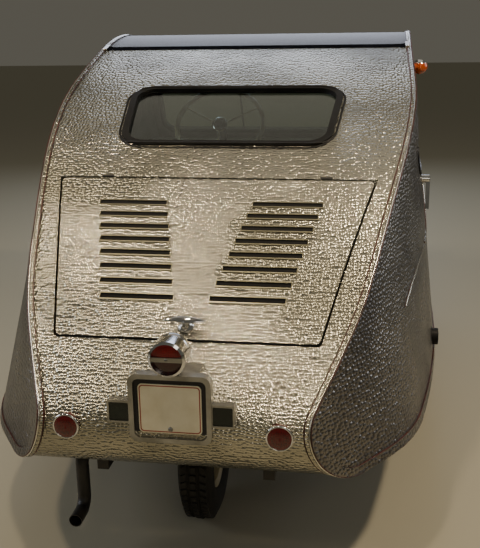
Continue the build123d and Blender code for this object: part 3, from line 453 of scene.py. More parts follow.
# A hood stands this much over the sheet. Faces more than this much under it lie in the louvre openings,
# and are painted black as shade.
HOOD_LIFT, SHADED_DEPTH = 0.4 * MM, 1 * MM
print("back arc radius", round(BACK_RADIUS, 3))


def above_back(point):
    """Height of a point over the long arc of the sloping back."""
    return (Vector((point.y, point.z)) - BACK_CENTRE).length - BACK_RADIUS


def back_frame(from_tail, x=0.0):
    """Place on the sloping back: local x across the car, y down the slope, z outward."""
    y = TAIL_END_Y - from_tail
    run = y - BACK_CENTRE.x
    slope = math.asin(run / BACK_RADIUS)
    z = BACK_CENTRE.y + math.sqrt(BACK_RADIUS**2 - run**2)
    return Matrix.Translation((x, y, z)) @ Matrix.Rotation(-slope, 4, "X")


def outward(centre, normal):
    """How far a face looks away from the middle of the body, in the side view."""
    return normal.dot(Vector((0, centre.y, centre.z - BODY_MIDDLE_Z)).normalized())


# The moulding's side faces take the side sheet, with its painted shade.
paint("edge_mouldings", side_skin_painted_shade, lambda c, n: abs(n.x) > FACES_SIDE)
paint("engine_hatch", pressed_skin, lambda c, n: above_back(c) > HOOD_LIFT and outward(c, n) > 0)
# Inward faces get the bay's undercoat; the outer skin sunk under the hood lips gets the same black as
# painted shade.
paint("engine_hatch", bay_undercoat_and_painted_shade, lambda c, n: outward(c, n) < 0 or above_back(c) < -SHADED_DEPTH)
paint("lower_tail_panel", bay_undercoat_and_painted_shade, lambda c, n: outward(c, n) < -0.1)

TAIL_LAMP_X = 260 * MM
TAIL_LAMP_Z = 470 * MM
STOP_CENTRE = Vector((0, 1445 * MM, 660 * MM))
LENS_RADIUS, LENS_DEPTH = 36.5 * MM, 9 * MM
BAR_HALF_LENGTH, BAR_HALF_HEIGHT, BAR_DEPTH = 38.5 * MM, 5.6 * MM, 8.2 * MM


def off_stop_axis(centre):
    """Distance of a point from the axis of the stop lamp."""
    return math.hypot(centre.x, centre.z - STOP_CENTRE.z)


def on_stop_lens(centre, normal):
    """The domed end of the stop lamp, inside its rim."""
    front = centre.y > STOP_CENTRE.y - LENS_DEPTH and normal.y > DOME_FACES
    return front and off_stop_axis(centre) < LENS_RADIUS


def on_stop_bar(centre, normal):
    """The bar across the stop lamp, which parts its two lenses."""
    level = abs(centre.z - STOP_CENTRE.z) < BAR_HALF_HEIGHT
    return level and centre.y > STOP_CENTRE.y - BAR_DEPTH and off_stop_axis(centre) < BAR_HALF_LENGTH


paint("stop_lamp", chrome, lambda c, n: True)
paint("stop_lamp", bright_red_lens, lambda c, n: on_stop_lens(c, n) and c.z > STOP_CENTRE.z)
paint("stop_lamp", dark_red_lens, lambda c, n: on_stop_lens(c, n) and c.z < STOP_CENTRE.z)
paint("stop_lamp", cast_metal, on_stop_bar)

TURN_LAMP_Y = TAIL_END_Y - 1600 * MM
TURN_LAMP_Z = 1250 * MM
TURN_LENS_FRONT, TURN_LENS_TOP = TURN_LAMP_Y - 1 * MM, TURN_LAMP_Z + 14 * MM
paint("turn_lamps", chrome, lambda c, n: c.y < TURN_LENS_FRONT or c.z > TURN_LENS_TOP)
HEADLAMP_X = 335 * MM
HEADLAMP_Z = 640 * MM
LAMP_FRONT_Y = -1445 * MM
HEADLAMP_RIM_DEPTH, HEADLAMP_GLASS_RADIUS = 17 * MM, 72 * MM


def off_headlamp_axis(centre):
    """Distance of a point from the axis of the nearer headlamp."""
    return math.hypot(abs(centre.x) - HEADLAMP_X, centre.z - HEADLAMP_Z)


paint("headlamps", cream_enamel, lambda c, n: c.y > LAMP_FRONT_Y + HEADLAMP_RIM_DEPTH)
paint(
    "headlamps", clear_lens, lambda c,
    n: n.y < -DOME_FACES and off_headlamp_axis(c) < HEADLAMP_GLASS_RADIUS,
)

PLATE_CENTRE = Vector((0, 1430 * MM, 528 * MM))
BADGE_X, BADGE_Z, BADGE_HALF = 126 * MM, 515 * MM, 24.5 * MM
TRAY_HALF_WIDTH, TRAY_HALF_HEIGHT = 89 * MM, 77 * MM


def in_tray(centre, normal):
    """The sunk field of the plate holder."""
    flat = abs(centre.x) < TRAY_HALF_WIDTH and abs(centre.z - PLATE_CENTRE.z) < TRAY_HALF_HEIGHT
    return flat and normal.y > FACES_BACK and centre.y < PLATE_CENTRE.y - 5 * MM


def on_badge_floor(centre, normal):
    """The sunk floor of each small box beside the plate."""
    near = abs(abs(centre.x) - BADGE_X) < BADGE_HALF and abs(centre.z - BADGE_Z) < BADGE_HALF
    return near and normal.y > FACES_BACK and centre.y < PLATE_CENTRE.y - 6 * MM


paint("plate_holder", field_enamel, in_tray)
paint("plate_holder", badge_enamel, on_badge_floor)

# %% [markdown]
# ## Making pieces
#
# The pieces that follow are made by three helpers. A turned piece is a profile spun about an
# axis, as on a lathe. A plate is an outline with rounded corners that gets a thickness. A bead
# follows a path, and Geometry Nodes sweep it: one tree turns a chain of points into a curve and
# gives it a round section, with its size as a named input.


# %% Helpers that make meshes
def make_piece(name, mesh, material, body, stands_for=(), smooth=True):
    """Link a finished mesh, give it its finish, and let it ride on its body."""
    mesh.name = name
    if material is not None:
        mesh.materials.clear()
        mesh.materials.append(material)
    for polygon in mesh.polygons:
        polygon.use_smooth = smooth
    piece = bpy.data.objects.new(name, mesh)
    bpy.context.scene.collection.objects.link(piece)
    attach(piece, body)
    if stands_for:
        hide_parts(*stands_for)
    return piece


def as_mesh(shape, name):
    """A finished shape as a mesh, with every face looking outward."""
    bmesh.ops.recalc_face_normals(shape, faces=shape.faces)
    mesh = bpy.data.meshes.new(name)
    shape.to_mesh(mesh)
    shape.free()
    return mesh


def lofted(shape, rings, name, capped=False):
    """Rings of vertices closed to one skin. A ring of one vertex is a tip."""
    sides = max(len(ring) for ring in rings)
    for lower, upper in zip(rings, rings[1:]):
        for step in range(sides):
            after = (step + 1) % sides
            corners = [lower[step % len(lower)], lower[after % len(lower)]]
            corners += [upper[after % len(upper)], upper[step % len(upper)]]
            corners = list(dict.fromkeys(corners))
            if len(corners) > 2:
                shape.faces.new(corners)
    if capped:
        shape.faces.new(rings[0])
        shape.faces.new(list(reversed(rings[-1])))
    return as_mesh(shape, name)


def turned(profile, place, segments=48):
    """A profile of (radius, height) points spun about the local z of a place."""
    shape = bmesh.new()
    rings = []
    for radius, height in profile:
        ring = []
        for step in range(segments if radius > 1e-7 else 1):
            turn = 2 * math.pi * step / segments
            spot = Vector((radius * math.cos(turn), radius * math.sin(turn), height))
            ring.append(shape.verts.new(place @ spot))
        rings.append(ring)
    return lofted(shape, rings, "turned")


def in_mm(*points):
    """Points whose two numbers are given in millimetres."""
    return [(first * MM, second * MM) for first, second in points]


def facing_back(x, y, z):
    """A place whose local z looks to the rear, x to the right and y up."""
    return Matrix(((-1, 0, 0, x), (0, 0, 1, y), (0, 1, 0, z), (0, 0, 0, 1)))


def rounded_outline(width, height, radius, steps=8):
    """Corner points of a rectangle with round corners, counter-clockwise about its middle."""
    points = []
    for quarter, (sx, sy) in enumerate(((1, 1), (-1, 1), (-1, -1), (1, -1))):
        for step in range(steps + 1):
            turn = math.pi / 2 * (quarter + step / steps)
            x = sx * (width / 2 - radius) + radius * math.cos(turn)
            y = sy * (height / 2 - radius) + radius * math.sin(turn)
            points.append((x, y))
    return points


def slab_mesh(outline, place, low, high, hole=None, bevel=0.4 * MM):
    """An outline between two heights of a place, with an eased upper edge and perhaps a hole."""
    shape = bmesh.new()

    def ring(points, height, inset=0.0):
        made = []
        for x, y in points:
            pull = 1 - inset / max(math.hypot(x, y), 1e-6)
            made.append(shape.verts.new(place @ Vector((x * pull, y * pull, height))))
        return made

    def wall(first, second):
        for step in range(len(first)):
            after = (step + 1) % len(first)
            shape.faces.new((first[step], first[after], second[after], second[step]))

    low_ring = ring(outline, low)
    side_ring = ring(outline, high - bevel)
    top_ring = ring(outline, high, bevel)
    wall(low_ring, side_ring)
    wall(side_ring, top_ring)
    if hole is None:
        shape.faces.new(top_ring)
        shape.faces.new(list(reversed(low_ring)))
    else:
        hole_top = ring(hole, high)
        hole_low = ring(hole, low)
        wall(top_ring, hole_top)
        wall(hole_top, hole_low)
        wall(hole_low, low_ring)
    return as_mesh(shape, "slab")


def joined(meshes):
    """Several meshes as one."""
    shape = bmesh.new()
    for mesh in meshes:
        shape.from_mesh(mesh)
    whole = bpy.data.meshes.new("joined")
    shape.to_mesh(whole)
    shape.free()
    return whole


# %% The bead tree
BEAD_SIDES = 10


def new_tree(name, inputs, output):
    """A Geometry Nodes tree with named inputs and one output, and the sockets of its inputs."""
    tree = bpy.data.node_groups.new(name, "GeometryNodeTree")
    for label, kind in inputs.items():
        tree.interface.new_socket(label, in_out="INPUT", socket_type=f"NodeSocket{kind}")
    tree.interface.new_socket(output, in_out="OUTPUT", socket_type="NodeSocketGeometry")
    return tree, add_node(tree, "NodeGroupInput").outputs


def end_tree(tree, geometry, material, output):
    """The last steps of a tree: real geometry, with its material, sent out."""
    real = add_node(tree, "GeometryNodeRealizeInstances", {"Geometry": geometry})
    finished = add_node(tree, "GeometryNodeSetMaterial", {"Geometry": real, "Material": material})
    add_node(tree, "NodeGroupOutput", {output: finished})


bead_tree, given = new_tree(
    "bead_along_path", {"Path": "Geometry", "Radius": "Float", "Sides": "Int", "Material": "Material"},
    "Bead",
)
curve = add_node(bead_tree, "GeometryNodeMeshToCurve", {"Mesh": given["Path"]})
section = add_node(
    bead_tree, "GeometryNodeCurvePrimitiveCircle",
    {"Resolution": given["Sides"], "Radius": given["Radius"]},
)
swept = add_node(
    bead_tree, "GeometryNodeCurveToMesh", {"Curve": curve, "Profile Curve": section, "Fill Caps": True}
)
smoothed = add_node(bead_tree, "GeometryNodeSetShadeSmooth", {"Geometry": swept})
end_tree(bead_tree, smoothed, given["Material"], "Bead")


def grown(tree, mesh, values):
    """What a node tree makes of a mesh, as a plain mesh."""
    carrier = bpy.data.objects.new("carrier", mesh)
    bpy.context.scene.collection.objects.link(carrier)
    modifier = carrier.modifiers.new("nodes", "NODES")
    modifier.node_group = tree
    # A modifier is set by its sockets' identifiers, which are found here by their names.
    ids = {item.name: item.identifier for item in tree.interface.items_tree if item.in_out == "INPUT"}
    for name, value in values.items():
        modifier[ids[name]] = value
    seen = carrier.evaluated_get(bpy.context.evaluated_depsgraph_get())
    result = bpy.data.meshes.new_from_object(seen)
    bpy.data.objects.remove(carrier)
    return result


def bead_mesh(points, radius, material, closed=False):
    """A round bead of this radius along a chain of points."""
    links = [(i, i + 1) for i in range(len(points) - 1)]
    if closed:
        links.append((len(points) - 1, 0))
    path = bpy.data.meshes.new("path")
    path.from_pydata([tuple(p) for p in points], links, [])
    return grown(bead_tree, path, {"Radius": radius, "Sides": BEAD_SIDES, "Material": material})


def bead(name, points, radius, material, body, closed=False):
    """A bead as a piece of its own."""
    return make_piece(name, bead_mesh(points, radius, material, closed), None, body)


# %% [markdown]
# ## Where things touch
#
# A bead has to lie on the panel that carries it. A search tree over a node's triangles answers
# where a straight line first meets that panel, so a bead needs only its line in the side view.


# %% Points on the CAD surface
def surface_of(*names):
    """A search tree over the triangles of some CAD nodes."""
    corners, faces = [], []
    for name in names:
        mesh = frame["nodes"][name].data
        first = len(corners)
        corners.extend(v.co.copy() for v in mesh.vertices)
        faces.extend([first + i for i in p.vertices] for p in mesh.polygons)
    return BVHTree.FromPolygons(corners, faces)


walls = {
    side: surface_of(f"side_panel_{name}", f"door_{name}", f"door_glass_{name}") for side, name in SIDES
}
CLEAR_OF_CAR = 2.0


def on_wall(side, from_tail, height):
    """Where the side wall is at this distance from the tail and height, and its normal."""
    start = Vector((side * CLEAR_OF_CAR, TAIL_END_Y - from_tail, height))
    return walls[side].ray_cast(start, Vector((-side, 0, 0)))[:2]


def between(a, b, c, d, t):
    """A value at share t of the way from b to c, on a Catmull-Rom curve through all four."""
    bend = (2 * a - 5 * b + 4 * c - d) * t * t + (3 * b - a - 3 * c + d) * t**3
    return 0.5 * (2 * b + (c - a) * t + bend)


def smooth_line(knots, steps):
    """A smooth line through a few places in the side view."""
    ends = [knots[0], *knots, knots[-1]]
    line = []
    for four in zip(ends, ends[1:], ends[2:], ends[3:]):
        for step in range(steps):
            line.append(tuple(between(*values, step / steps) for values in zip(*four)))
    return [*line, tuple(knots[-1])]


# %% [markdown]
# ## Mouldings along the two edges of the body
#
# The skin ends in a rolled flange, a soft red brown strip fills the joint, and an aluminium bead is
# pressed along the middle of the strip. The path is found on the CAD moulding itself: for each
# angle round the side view, the farthest place where the moulding is still met from the side.

# %% Flange and aluminium bead
EDGE_STEPS = 900
EDGE_FAR, EDGE_NEAR, EDGE_STRIDE = 1.8, 0.2, 9 * MM
RUN_BREAK = 30 * MM
# The search starts at the front wheel arch, so that the outline opens there.
ARCH_TURN = math.radians(212)
EDGE_HALVINGS = 14
BEAD_RADIUS = 2.3 * MM
BEAD_INSET = 5.5 * MM
CORNER_INSET = 1.6 * MM
FLANGE = (8.5 * MM, 16.5 * MM)
FLANGE_LIFT = 0.9 * MM
moulding_surface = surface_of("edge_mouldings")
PROFILE_MIDDLE = Vector((0.0, 0.75))


def edge_place(side, turn):
    """The moulding's outer corner at this angle round the side view."""
    ray = Vector((math.cos(turn), math.sin(turn)))
    start, aim = Vector((side * CLEAR_OF_CAR, 0, 0)), Vector((-side, 0, 0))

    def seen(reach):
        spot = PROFILE_MIDDLE + ray * reach
        start.yz = spot
        return moulding_surface.ray_cast(start, aim, CLEAR_OF_CAR)[0]

    far = EDGE_FAR
    while seen(far - EDGE_STRIDE) is None and far > EDGE_NEAR:
        far -= EDGE_STRIDE
    near = far - EDGE_STRIDE
    for _ in range(EDGE_HALVINGS):
        reach = (near + far) / 2
        near, far = (reach, far) if seen(reach) else (near, reach)
    return seen(near)


def body_outline(side):
    """The moulding's outer corner as open runs of points; a wide step between two parts them."""
    turns = [ARCH_TURN + 2 * math.pi * step / EDGE_STEPS for step in range(EDGE_STEPS)]
    runs = [[]]
    for place in (edge_place(side, turn) for turn in turns):
        jumped = runs[-1] and place is not None and (place - runs[-1][-1]).length > RUN_BREAK
        if place is None or jumped:
            runs.append([])
        if place is not None:
            runs[-1].append(place)
    kept = [run for run in runs if len(run) > 20]
    print("outline runs", [len(run) for run in kept])
    return kept


def strip_mesh(corners, side, inner, outer, lift, depth):
    """A flat strip that follows an outline, between two distances from its corner."""
    shape = bmesh.new()
    rings = []
    last = len(corners) - 1
    for index, corner in enumerate(corners):
        along = (corners[min(index + 1, last)] - corners[max(index - 1, 0)]).normalized()
        out = Vector((0, -along.z, along.y)).normalized()
        middle = Vector((0, corner.y - PROFILE_MIDDLE.x, corner.z - PROFILE_MIDDLE.y))
        out = out if out.dot(middle) > 0 else -out
        cross = Vector((-side, 0, 0))
        section = ((inner, -depth), (inner, lift), (outer, lift), (outer, -depth))
        rings.append([shape.verts.new(corner + cross * side_by + out * up) for side_by, up in section])
    return lofted(shape, rings, "strip", capped=True)


for side, name in SIDES:
    runs = body_outline(side)
    flange = joined([strip_mesh(run, side, *FLANGE, FLANGE_LIFT, 2 * MM) for run in runs])
    make_piece(f"edge_flange_{name}", flange, hammered_skin, "root", smooth=False)
    for label, inset, radius, finish in (
        ("bead", BEAD_INSET, BEAD_RADIUS, bright_trim), ("piping", CORNER_INSET, CORNER_INSET, piping)
    ):
        inwards = Vector((-side * inset, 0, 0))
        lines = [bead_mesh([spot + inwards for spot in run], radius, finish) for run in runs]
        make_piece(f"edge_{label}_{name}", joined(lines), finish, "root")

# %% [markdown]
# ## Styling bead on each side
#
# A thin aluminium bead with a red line curves down the side from under the door handle. It crosses
# the gap at the door's rear edge, so it is two pieces there, and the front one rides on the door.

# %% Styling beads
DOOR_REAR = 930
STYLE_KNOTS = ((1250, 850), (1190, 785), (1100, 735), (1000, 716), (787, 700), (630, 671), (510, 634))
STYLE_RADIUS = 3 * MM
STYLE_GAP = 6
STYLE_STEPS = 12
# Shares of that radius: how far each line stands out, where the red one lies, and how thin it is.
BEAD_OUT, RED_OUT, RED_SHIFT, RED_SHARE = 0.4, 0.2, 1.3, 0.7


def side_line(side, knots, lift, shift=0.0):
    """Points on the side wall along a smooth line of (distance from tail, height) in mm."""
    points = []
    for from_tail, height in smooth_line(knots, STYLE_STEPS):
        spot, normal = on_wall(side, (from_tail - shift) * MM, height * MM)
        if spot is not None:
            points.append(spot + normal * lift)
    return points


for side, name in SIDES:
    line = smooth_line(STYLE_KNOTS, STYLE_STEPS)
    spans = {
        f"door_{name}": [knot for knot in line if knot[0] > DOOR_REAR + STYLE_GAP],
        "root": [knot for knot in line if knot[0] < DOOR_REAR - STYLE_GAP]
    }
    for body, knots in spans.items():
        place_name = "door" if body != "root" else "body"
        style_bead = side_line(side, knots, STYLE_RADIUS * BEAD_OUT)
        style_red = side_line(side, knots, STYLE_RADIUS * RED_OUT, STYLE_RADIUS * RED_SHIFT / MM)
        bead(f"style_bead_{place_name}_{name}", style_bead, STYLE_RADIUS, bright_trim, body)
        red_radius = STYLE_RADIUS * RED_SHARE
        bead(f"style_line_{place_name}_{name}", style_red, red_radius, piping, body)

# %% [markdown]
# ## Glass surrounds
#
# The CAD rubbers have the right width. A round lip on each side of them, where the rubber folds over
# the sheet and over the glass, catches the light as a thin line.

# %% Lips of the rear window and rubbers of the door windows
WINDOW_LOW, WINDOW_HIGH = 335 * MM, 372 * MM
WINDOW_TOP, WINDOW_BOTTOM = 1150 * MM, 800 * MM
WINDOW_CORNER = 85 * MM
# Each lip of the rear window: how far it lies from the middle of the rubber, and its radius.
LIPS = (("outer", 8 * MM, 3 * MM), ("inner", -8 * MM, 3.5 * MM))
# A stretch longer than this is laid on the skin in steps, from this far outside.
LONG_STRETCH, LIP_REACH = 50 * MM, 0.1
back_wall = surface_of("window_rubbers", "rear_window", "upper_tail_panel")


def rounded_loop(corners, radius, steps=8):
    """A closed chain of points with its corners rounded to a radius."""
    chain = []
    for index, corner in enumerate(corners):
        here = Vector(corner)
        before = (Vector(corners[index - 1]) - here).normalized()
        after = (Vector(corners[(index + 1) % len(corners)]) - here).normalized()
        half = before.angle(after) / 2
        centre = here + (before + after).normalized() * radius / math.sin(half)
        start = here + before * radius / math.tan(half) - centre
        end = here + after * radius / math.tan(half) - centre
        for step in range(steps + 1):
            mixed = start.lerp(end, step / steps).normalized() * radius
            chain.append(centre + mixed)
    return chain


window_corners = [
    (-WINDOW_LOW, WINDOW_BOTTOM), (WINDOW_LOW, WINDOW_BOTTOM), (WINDOW_HIGH, WINDOW_TOP),
    (-WINDOW_HIGH, WINDOW_TOP),
]


def lip_line(corners, radius, steps_between=6):
    """A rounded outline on the sloping back, laid on whatever the CAD has there."""
    flat = rounded_loop(corners, radius)
    points = []
    for first, second in zip(flat, flat[1:] + flat[:1]):
        count = steps_between if (second - first).length > LONG_STRETCH else 1
        for step in range(count):
            spot = first.lerp(second, step / count)
            frame_here = back_frame(spot.y, spot.x)
            outwards = frame_here.col[2].to_3d()
            start = frame_here.translation + outwards * LIP_REACH
            hit = back_wall.ray_cast(start, -outwards, 2 * LIP_REACH)[0]
            if hit is not None:
                points.append(hit)
    return points


def grown_corners(corners, by):
    """The same four corners, moved apart or together."""
    return [(x + math.copysign(by, x), y + (by if y == WINDOW_TOP else -by)) for x, y in corners]


for label, by, radius in LIPS:
    corners = grown_corners(window_corners, by)
    line = lip_line(corners, WINDOW_CORNER + by)
    bead(f"rear_window_lip_{label}", line, radius, window_rubber, "root", closed=True)

DOOR_WINDOW_CORNER, DOOR_RUBBER_RADIUS = 30 * MM, 5 * MM
DOOR_WINDOW = ((975, 930), (975, 1010), (1410, 1155), (1925, 1155), (1925, 930))
for side, name in SIDES:
    flat = rounded_loop(in_mm(*DOOR_WINDOW), DOOR_WINDOW_CORNER)
    points = [on_wall(side, spot.x, spot.y)[0] for spot in flat]
    points = [spot for spot in points if spot is not None]
    bead(
        f"door_window_rubber_{name}", points, DOOR_RUBBER_RADIUS, window_rubber, f"door_{name}",
        closed=True,
    )

# %% [markdown]
# ## Plate, lamps and handle at the tail
#
# The plate is blank enamel with a red border, held by one screw in the middle of its lower edge.
# The stop lamp's bar has a small screw. The hatch handle is a leaf shaped wing on a turned boss.

# %% Plate and its border
upright = facing_back(*PLATE_CENTRE)
PLATE_SIZE = (153 * MM, 126 * MM)
PLATE_BACK = -5.6 * MM
PLATE_FRONT = -3.6 * MM
PLATE_CORNER = 11 * MM
# The border's outer and inner outline: how much smaller than the plate, and their corner radius.
BORDERS = ((6 * MM, 9 * MM), (11 * MM, 7 * MM))
BORDER_LOW, BORDER_HIGH = PLATE_FRONT - 0.5 * MM, PLATE_FRONT + 0.3 * MM
plate = slab_mesh(rounded_outline(*PLATE_SIZE, PLATE_CORNER), upright, PLATE_BACK, PLATE_FRONT)
make_piece("number_plate", plate, plate_enamel, "root", smooth=False)
border_out, border_in = [
    rounded_outline(PLATE_SIZE[0] - less, PLATE_SIZE[1] - less, corner) for less, corner in BORDERS
]
border = slab_mesh(border_out, upright, BORDER_LOW, BORDER_HIGH, border_in, 0.1 * MM)
make_piece("plate_border", border, plate_red, "root", smooth=False)


def screw_mesh(place, radius, height, slot_width=1.2 * MM):
    """A round headed screw: a turned dome with a slot sunk in it."""
    dome = [(0, 0), (radius, 0), (radius, height * 0.3), (radius * 0.8, height * 0.75)]
    dome += [(radius * 0.45, height), (0, height)]
    head = turned(dome, place, 20)
    groove = slab_mesh(
        rounded_outline(radius * 1.5, slot_width, slot_width * 0.3, 2), place, height * 0.9,
        height * 1.04, bevel=0.02 * MM,
    )
    return joined([head, groove]), len(head.polygons)


def screw(name, place, radius, height):
    """A screw head as a piece: zinc plated, with a dark slot."""
    mesh, head_faces = screw_mesh(place, radius, height)
    piece = make_piece(name, mesh, zinc, "root", smooth=False)
    piece.data.materials.append(black_paint)
    for polygon in piece.data.polygons:
        polygon.use_smooth = polygon.index < head_faces
        polygon.material_index = 0 if polygon.index < head_faces else 1


screw("plate_screw", upright @ Matrix.Translation((0, -52 * MM, PLATE_FRONT)), 6 * MM, 3 * MM)
bar_place = facing_back(*STOP_CENTRE) @ Matrix.Translation((0, 0, -0.5 * MM))
screw("stop_bar_screw", bar_place, 4.5 * MM, 2.2 * MM)

# %% Rims of the tail lamps
TAIL_LAMP_Y = 1426 * MM
LAMP_RING = in_mm((28, 3), (29, 5.5), (31, 6), (33, 4), (33.5, 0), (28, 0), (28, 3))
for side, name in SIDES:
    rim = turned(LAMP_RING, facing_back(side * TAIL_LAMP_X, TAIL_LAMP_Y, TAIL_LAMP_Z))
    make_piece(f"tail_lamp_rim_{name}", rim, chrome, "root")

# %% Leaf shaped hatch handle
HANDLE_FROM_TAIL = 205 * MM
WING_LENGTH, WING_WIDTH, WING_HEIGHT = 112 * MM, 21 * MM, 34 * MM
WING_SAG, WING_HALF_THICK = 5 * MM, 4.5 * MM
handle_place = back_frame(HANDLE_FROM_TAIL)
boss_profile = in_mm((0, 0.3), (21, 0.3), (21, 4), (17, 8), (11, 12), (9, 22), (10, 30), (0, 32))
boss = turned(boss_profile, handle_place, 40)
wing_shape = bmesh.new()
WING_STEPS, WING_SIDES = 28, 20
wing_rings = []
for step in range(WING_STEPS + 1):
    along = -1 + 2 * step / WING_STEPS
    fullness = (1 - along**2) ** 0.75
    ring = []
    for part in range(WING_SIDES if fullness > 1e-4 else 1):
        turn = 2 * math.pi * part / WING_SIDES
        across = WING_WIDTH / 2 * fullness * math.cos(turn)
        rise = WING_HEIGHT - WING_SAG * along**2 + WING_HALF_THICK * fullness * math.sin(turn)
        spot = Vector((along * WING_LENGTH / 2, across, rise))
        ring.append(wing_shape.verts.new(handle_place @ spot))
    wing_rings.append(ring)
wing = lofted(wing_shape, wing_rings, "wing")
make_piece("hatch_wing_handle", joined([boss, wing]), chrome, "hatch", ("hatch_handle",))

# %% [markdown]
# ## Roof seam
#
# The leatherette of the roof is held at its rear edge under a dark strip. It is laid over the roof
# in steps, each a section of five points dropped onto whatever lies there.

# %% Seam strip
SEAM_FROM_TAIL = 1540 * MM
SEAM_HALF_WIDTH = 22 * MM
SEAM_REACH = 588 * MM
SEAM_STEPS = 48
SEAM_SECTION = ((-1, -1 * MM), (-0.8, 2 * MM), (0, 3 * MM), (0.8, 2 * MM), (1, -1 * MM))
SEAM_Y, SEAM_HEIGHT = TAIL_END_Y - SEAM_FROM_TAIL, 1330 * MM
roof_wall = surface_of("roof_panel", "upper_tail_panel", "edge_mouldings")


def roof_height(x, y):
    """Height of the roof, or of the moulding at its edge, at this place."""
    hit = roof_wall.ray_cast(Vector((x, y, CLEAR_OF_CAR)), Vector((0, 0, -1)))[0]
    return hit.z if hit is not None else SEAM_HEIGHT


seam_shape = bmesh.new()
seam_rings = []
for step in range(SEAM_STEPS + 1):
    x = -SEAM_REACH + 2 * SEAM_REACH * step / SEAM_STEPS
    ring = []
    for offset, lift in SEAM_SECTION:
        y = SEAM_Y + offset * SEAM_HALF_WIDTH
        ring.append(seam_shape.verts.new((x, y, roof_height(x, y) + lift)))
    seam_rings.append(ring)
seam = lofted(seam_shape, seam_rings, "seam", capped=True)
make_piece("roof_seam", seam, roof_seam, "root", smooth=False)

# %% [markdown]
# ## Wheels
#
# A tyre is a turned carcass with two grooves. Its tread blocks and the wheel nuts are one shape
# each, repeated round the wheel by Geometry Nodes: points on a line of no length are turned one
# step further each, and carry a copy.

# %% The tree that repeats a shape round a wheel
ring_tree, given = new_tree(
    "repeat_round_wheel", {"Shape": "Geometry", "Count": "Int", "Material": "Material"}, "Ring"
)
points = add_node(
    ring_tree, "GeometryNodeMeshLine", {"Count": given["Count"], "Offset": (0, 0, 0)}, mode="OFFSET"
)
number = add_node(ring_tree, "GeometryNodeInputIndex")
share = add_node(ring_tree, "ShaderNodeMath", {0: number, 1: given["Count"]}, operation="DIVIDE")
turn = add_node(ring_tree, "ShaderNodeMath", {0: share, 1: 2 * math.pi}, operation="MULTIPLY")
turn_vector = add_node(ring_tree, "ShaderNodeCombineXYZ", {"X": turn})
copies = add_node(
    ring_tree, "GeometryNodeInstanceOnPoints",
    {"Points": points, "Instance": given["Shape"], "Rotation": turn_vector},
)
end_tree(ring_tree, copies, given["Material"], "Ring")

# %% Tyres
AXLE_Z = 205 * MM
FRONT_AXLE_Y = TAIL_END_Y - 2300 * MM
REAR_AXLE_Y = TAIL_END_Y - 420 * MM
HALF_TRACK = 550 * MM
WHEELS = (
    ("left", Vector((HALF_TRACK, FRONT_AXLE_Y, AXLE_Z)), 1),
    ("right", Vector((-HALF_TRACK, FRONT_AXLE_Y, AXLE_Z)), -1),
    ("rear", Vector((0, REAR_AXLE_Y, AXLE_Z)), 1),
)
TREAD_COUNT = 54
# Each row of blocks: its two sides, foot and top as x and radii, how far it slants, in mm and radians.
TREAD_ROWS = ((-9, 9, 197, 204.6, 0.0), (17, 36, 190, 202, 0.02), (-36, -17, 190, 202, -0.02))
BLOCK_SHARE = 0.72
BLOCK_EASE = 0.86
tyre_half = [(0, 199), (10, 199), (11, 194.5), (15, 194.5), (16, 198.6), (27, 197), (36, 193.5)]
tyre_half += [(43, 184), (48.5, 170), (50, 155), (48, 138), (42, 124), (36, 116), (33, 113.2)]
carcass = [(radius * MM, x * MM) for x, radius in tyre_half]
carcass = [(radius, -x) for radius, x in reversed(carcass[1:])] + carcass + [(113.2 * MM, -33 * MM)]
to_axle = Matrix.Rotation(math.pi / 2, 4, "Y")


def block_mesh(x_low, x_high, low, high, slant):
    """One tread block at the top of a wheel whose axle lies along x."""
    half = math.pi / TREAD_COUNT * BLOCK_SHARE
    corners = []
    for radius, ease in ((low, 1.0), (high, BLOCK_EASE)):
        for x, lean in ((x_low, -slant), (x_high, slant)):
            middle = (x_low + x_high) / 2
            here = middle + (x - middle) * ease
            for sign in (-1, 1):
                turn = lean + sign * half * ease
                corners.append((here, radius * math.sin(turn), radius * math.cos(turn)))
    faces = [(0, 1, 3, 2), (4, 6, 7, 5), (0, 4, 5, 1), (2, 3, 7, 6), (0, 2, 6, 4), (1, 5, 7, 3)]
    shape = bmesh.new()
    verts = [shape.verts.new(corner) for corner in corners]
    for face in faces:
        shape.faces.new([verts[index] for index in face])
    return as_mesh(shape, "block")


for name, hub, side in WHEELS:
    place = Matrix.Translation(hub)
    tyre = turned(carcass, place @ to_axle, 96)
    blocks = []
    for *sizes, slant in TREAD_ROWS:
        block = block_mesh(*[size * MM for size in sizes], slant)
        ring = grown(ring_tree, block, {"Count": TREAD_COUNT, "Material": tyre_rubber})
        ring.transform(place)
        blocks.append(ring)
    mesh = joined([tyre, *blocks])
    smooth_faces = len(tyre.polygons)
    piece = make_piece(
        f"tyre_with_tread_{name}", mesh, tyre_rubber, f"wheel_{name}", (f"tyre_{name}",)
    )
    for polygon in piece.data.polygons:
        polygon.use_smooth = polygon.index < smooth_faces

# %% [markdown]
# ## Small things in the cabin
#
# Through the rear window the steering wheel and the dash show dimly. A button with a bright ring
# fills the wheel's hub. The dial and its three knobs are plain turned pieces without a marking.

# %% Horn button, dial and knobs
DRIVER_X = 220 * MM
wheel_centre = Matrix.Translation((DRIVER_X, TAIL_END_Y - 2020 * MM, 980 * MM))
WHEEL_TILT = math.radians(-48)
wheel_place = wheel_centre @ Matrix.Rotation(WHEEL_TILT, 4, "X")
button = in_mm((0, 12), (22, 12), (22, 17), (19, 21), (10, 24), (0, 25))
make_piece(
    "horn_button", turned(button, wheel_place, 36), window_rubber, "steering_wheel"
)
button_ring = in_mm((34, 6), (36, 9), (34, 13), (23, 15), (22, 12), (34, 6))
make_piece("horn_ring", turned(button_ring, wheel_place, 40), chrome, "steering_wheel")

